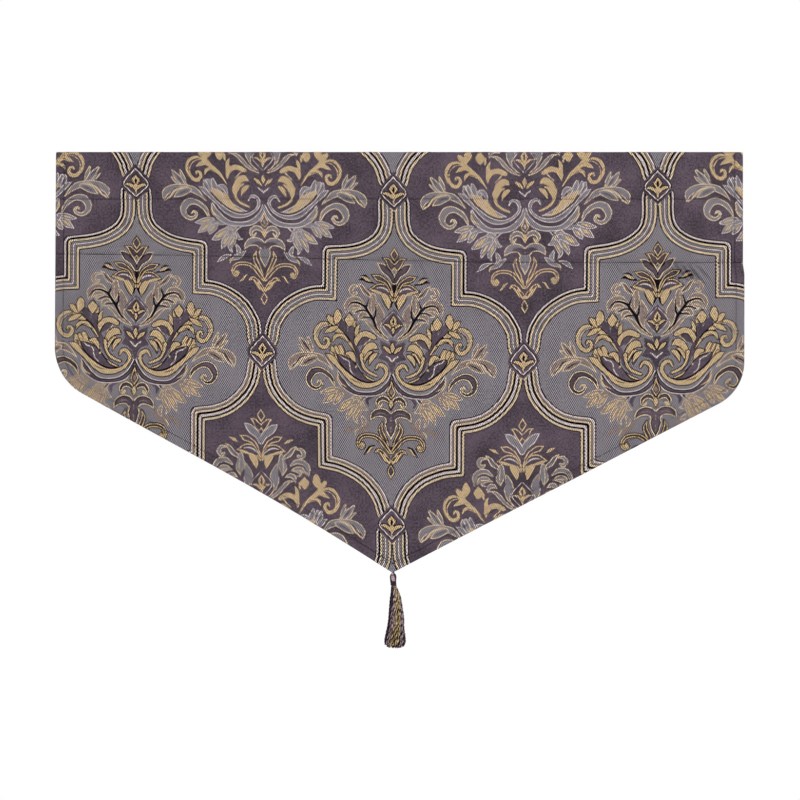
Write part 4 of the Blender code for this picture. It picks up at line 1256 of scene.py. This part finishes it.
def skirt_line(turn, share, points):
    """One hanging yarn, held in the neck and spread out as it falls, with a slight wave of its own."""
    neck_z = BINDING_TOP_Z - BINDING_HEIGHT
    end_z = SKIRT_END_Z + 0.0040 * share**4 + chance.uniform(-0.0014, 0.0026)
    z = np.linspace(BINDING_TOP_Z - 0.001, end_z, points)
    below = np.clip((neck_z - z) / (neck_z - end_z), 0, 1)
    radius = np.interp(below, SKIRT_SHAPE[:, 0], SKIRT_SHAPE[:, 1]) - YARN * 0.8
    radius *= share * (1 + chance.uniform(-0.09, 0.03) * below)
    angle = turn + (chance.uniform(-0.12, 0.12) - SKIRT_TURN) * below
    wave = chance.uniform(0.0003, 0.0010) * np.sin(chance.uniform(0, 6.28) + chance.uniform(7, 12) * below)
    wave *= np.minimum(1, 5 * below)
    drift = np.interp(below, SKIRT_SHAPE[:, 0], SKIRT_SHAPE[:, 2])
    return np.column_stack([
        TASSEL_X + radius * np.cos(angle) - wave * np.sin(angle) + drift,
        TASSEL_Y + 0.9 * (radius * np.sin(angle) + wave * np.cos(angle)), z,
    ])


plum_yarn = spun("plum_tassel_yarn", (82, 60, 76), (20, 10, 20), 0.6)
mauve_yarn = spun("mauve_tassel_yarn", (224, 198, 200), (90, 66, 80), 0.5)
gold_yarn = spun("gold_tassel_yarn", (255, 226, 168), (112, 78, 42), 0.45)
dark_yarn = spun("dark_tassel_yarn", (30, 18, 28), (5, 2, 5), 0.7)
TASSEL_YARNS = (plum_yarn, mauve_yarn, gold_yarn, dark_yarn)
CORE_DYES = (plum_yarn, dark_yarn, dark_yarn, plum_yarn, mauve_yarn, dark_yarn, gold_yarn)

# The two plies of the outer yarns, as two choices for each stretch round the neck. The stretches end at so
# many degrees from the right, counted towards the back. Besides the yarns' own mix of colours, they paint
# light: the mauve stretch at the front is a painted highlight, and the plum and dark plies that fill the left
# side and the right edge are painted shade.
plum_dark, mauve_dark = (plum_yarn, dark_yarn), (mauve_yarn, dark_yarn)
mauve_plum, gold_dark = (mauve_yarn, plum_yarn), (gold_yarn, dark_yarn)
DYES_AND_PAINTED_LIGHT_ROUND = (
    (20, (plum_dark, mauve_dark)), (150, (plum_dark, mauve_plum)), (180, (gold_dark, plum_dark)),
    (250, (plum_dark, plum_dark)), (278, (mauve_plum, mauve_plum)), (332, (gold_dark, gold_dark)),
    (361, (mauve_dark, plum_dark)),
)
outer_lines = {material: [] for material in TASSEL_YARNS}
for k in range(OUTER_YARNS):
    place = 360 * (k + chance.uniform(0, 1)) / OUTER_YARNS
    line = skirt_line(math.radians(place), OUTER_LAYERS[k % 2] * chance.uniform(0.94, 1.02), 72)
    plies = next(choice for end, choice in DYES_AND_PAINTED_LIGHT_ROUND if place < end)[chance.integers(2)]
    turns = (BINDING_TOP_Z - SKIRT_END_Z) / PLY_TURN * chance.uniform(0.85, 1.15)
    start = chance.uniform(0, 6.28)
    for material, half_turn in zip(plies, (0, math.pi)):
        outer_lines[material].append(twisted(line, PLY * 0.42, turns, start + half_turn))
skirt_parts = [yarns(yarn.name, lines, PLY, 4, yarn) for yarn, lines in outer_lines.items()]

core_lines = {material: [] for material in TASSEL_YARNS}
for k in range(CORE_YARNS):
    share = CORE_SHARE * math.sqrt((k + 0.5) / CORE_YARNS)
    core_lines[CORE_DYES[k % 7]].append(skirt_line(k * GOLDEN_ANGLE, share, 13))
skirt_parts += [yarns(yarn.name + "_core", lines, YARN, 5, yarn) for yarn, lines in core_lines.items()]
skirt = joined("tassel_skirt", skirt_parts)
# The knob is wound of plum yarns, with mauve ones down its front that paint a highlight on it
over_knob = knob_lines()
knob = joined("tassel_knob", [
    yarns("knob_front_highlight", over_knob[18:23], YARN, 5, mauve_yarn),
    yarns("knob_sides", over_knob[:18] + over_knob[23:], YARN, 5, plum_yarn),
])

turns = np.linspace(0, 2 * math.pi * BINDING_TURNS, 20 * BINDING_TURNS + 1)
share = turns / turns[-1]
radius = BINDING_RADIUS - BINDING_THREAD / 2
binding_line = np.column_stack([
    TASSEL_X + BINDING_LEAN * share + radius * np.cos(turns), TASSEL_Y + radius * np.sin(turns),
    BINDING_TOP_Z - BINDING_THREAD / 2 - (BINDING_HEIGHT - BINDING_THREAD) * share,
])
binding_dye = spun("binding_thread", (62, 40, 54), (14, 6, 12), 0.6)
binding = yarns("neck_binding", [binding_line], BINDING_THREAD, 6, binding_dye)

# The cord's two plies wind round a narrow loop behind the cloth
loop_path = []
for k in np.linspace(0, 2, 41):
    up, side = min(k, 2 - k), math.copysign(1, k - 1)
    width = LOOP_HALF_WIDTH * max(math.sin(math.pi * up), 0)**0.4
    loop_path.append((TASSEL_X + side * width, TASSEL_Y, LOOP_BOTTOM_Z + LOOP_HEIGHT * up))
loop_path = smooth_line(loop_path, 0.0004)
turns = 0.55 * len(loop_path) / (2 * math.pi)
loop_plies = [twisted(loop_path, 0.00042, turns, start) for start in (0, math.pi)]
loop = yarns("hanging_loop", loop_plies, LOOP_PLY, 6, plum_yarn)

for piece, node, finish in (
    (skirt, "tassel", "tassel_yarn"), (knob, "tassel", "tassel_yarn"),
    (binding, "tassel_binding", "binding_thread"), (loop, "tassel_loop", "loop_cord"),
):
    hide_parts(node)
    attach(piece, "root")
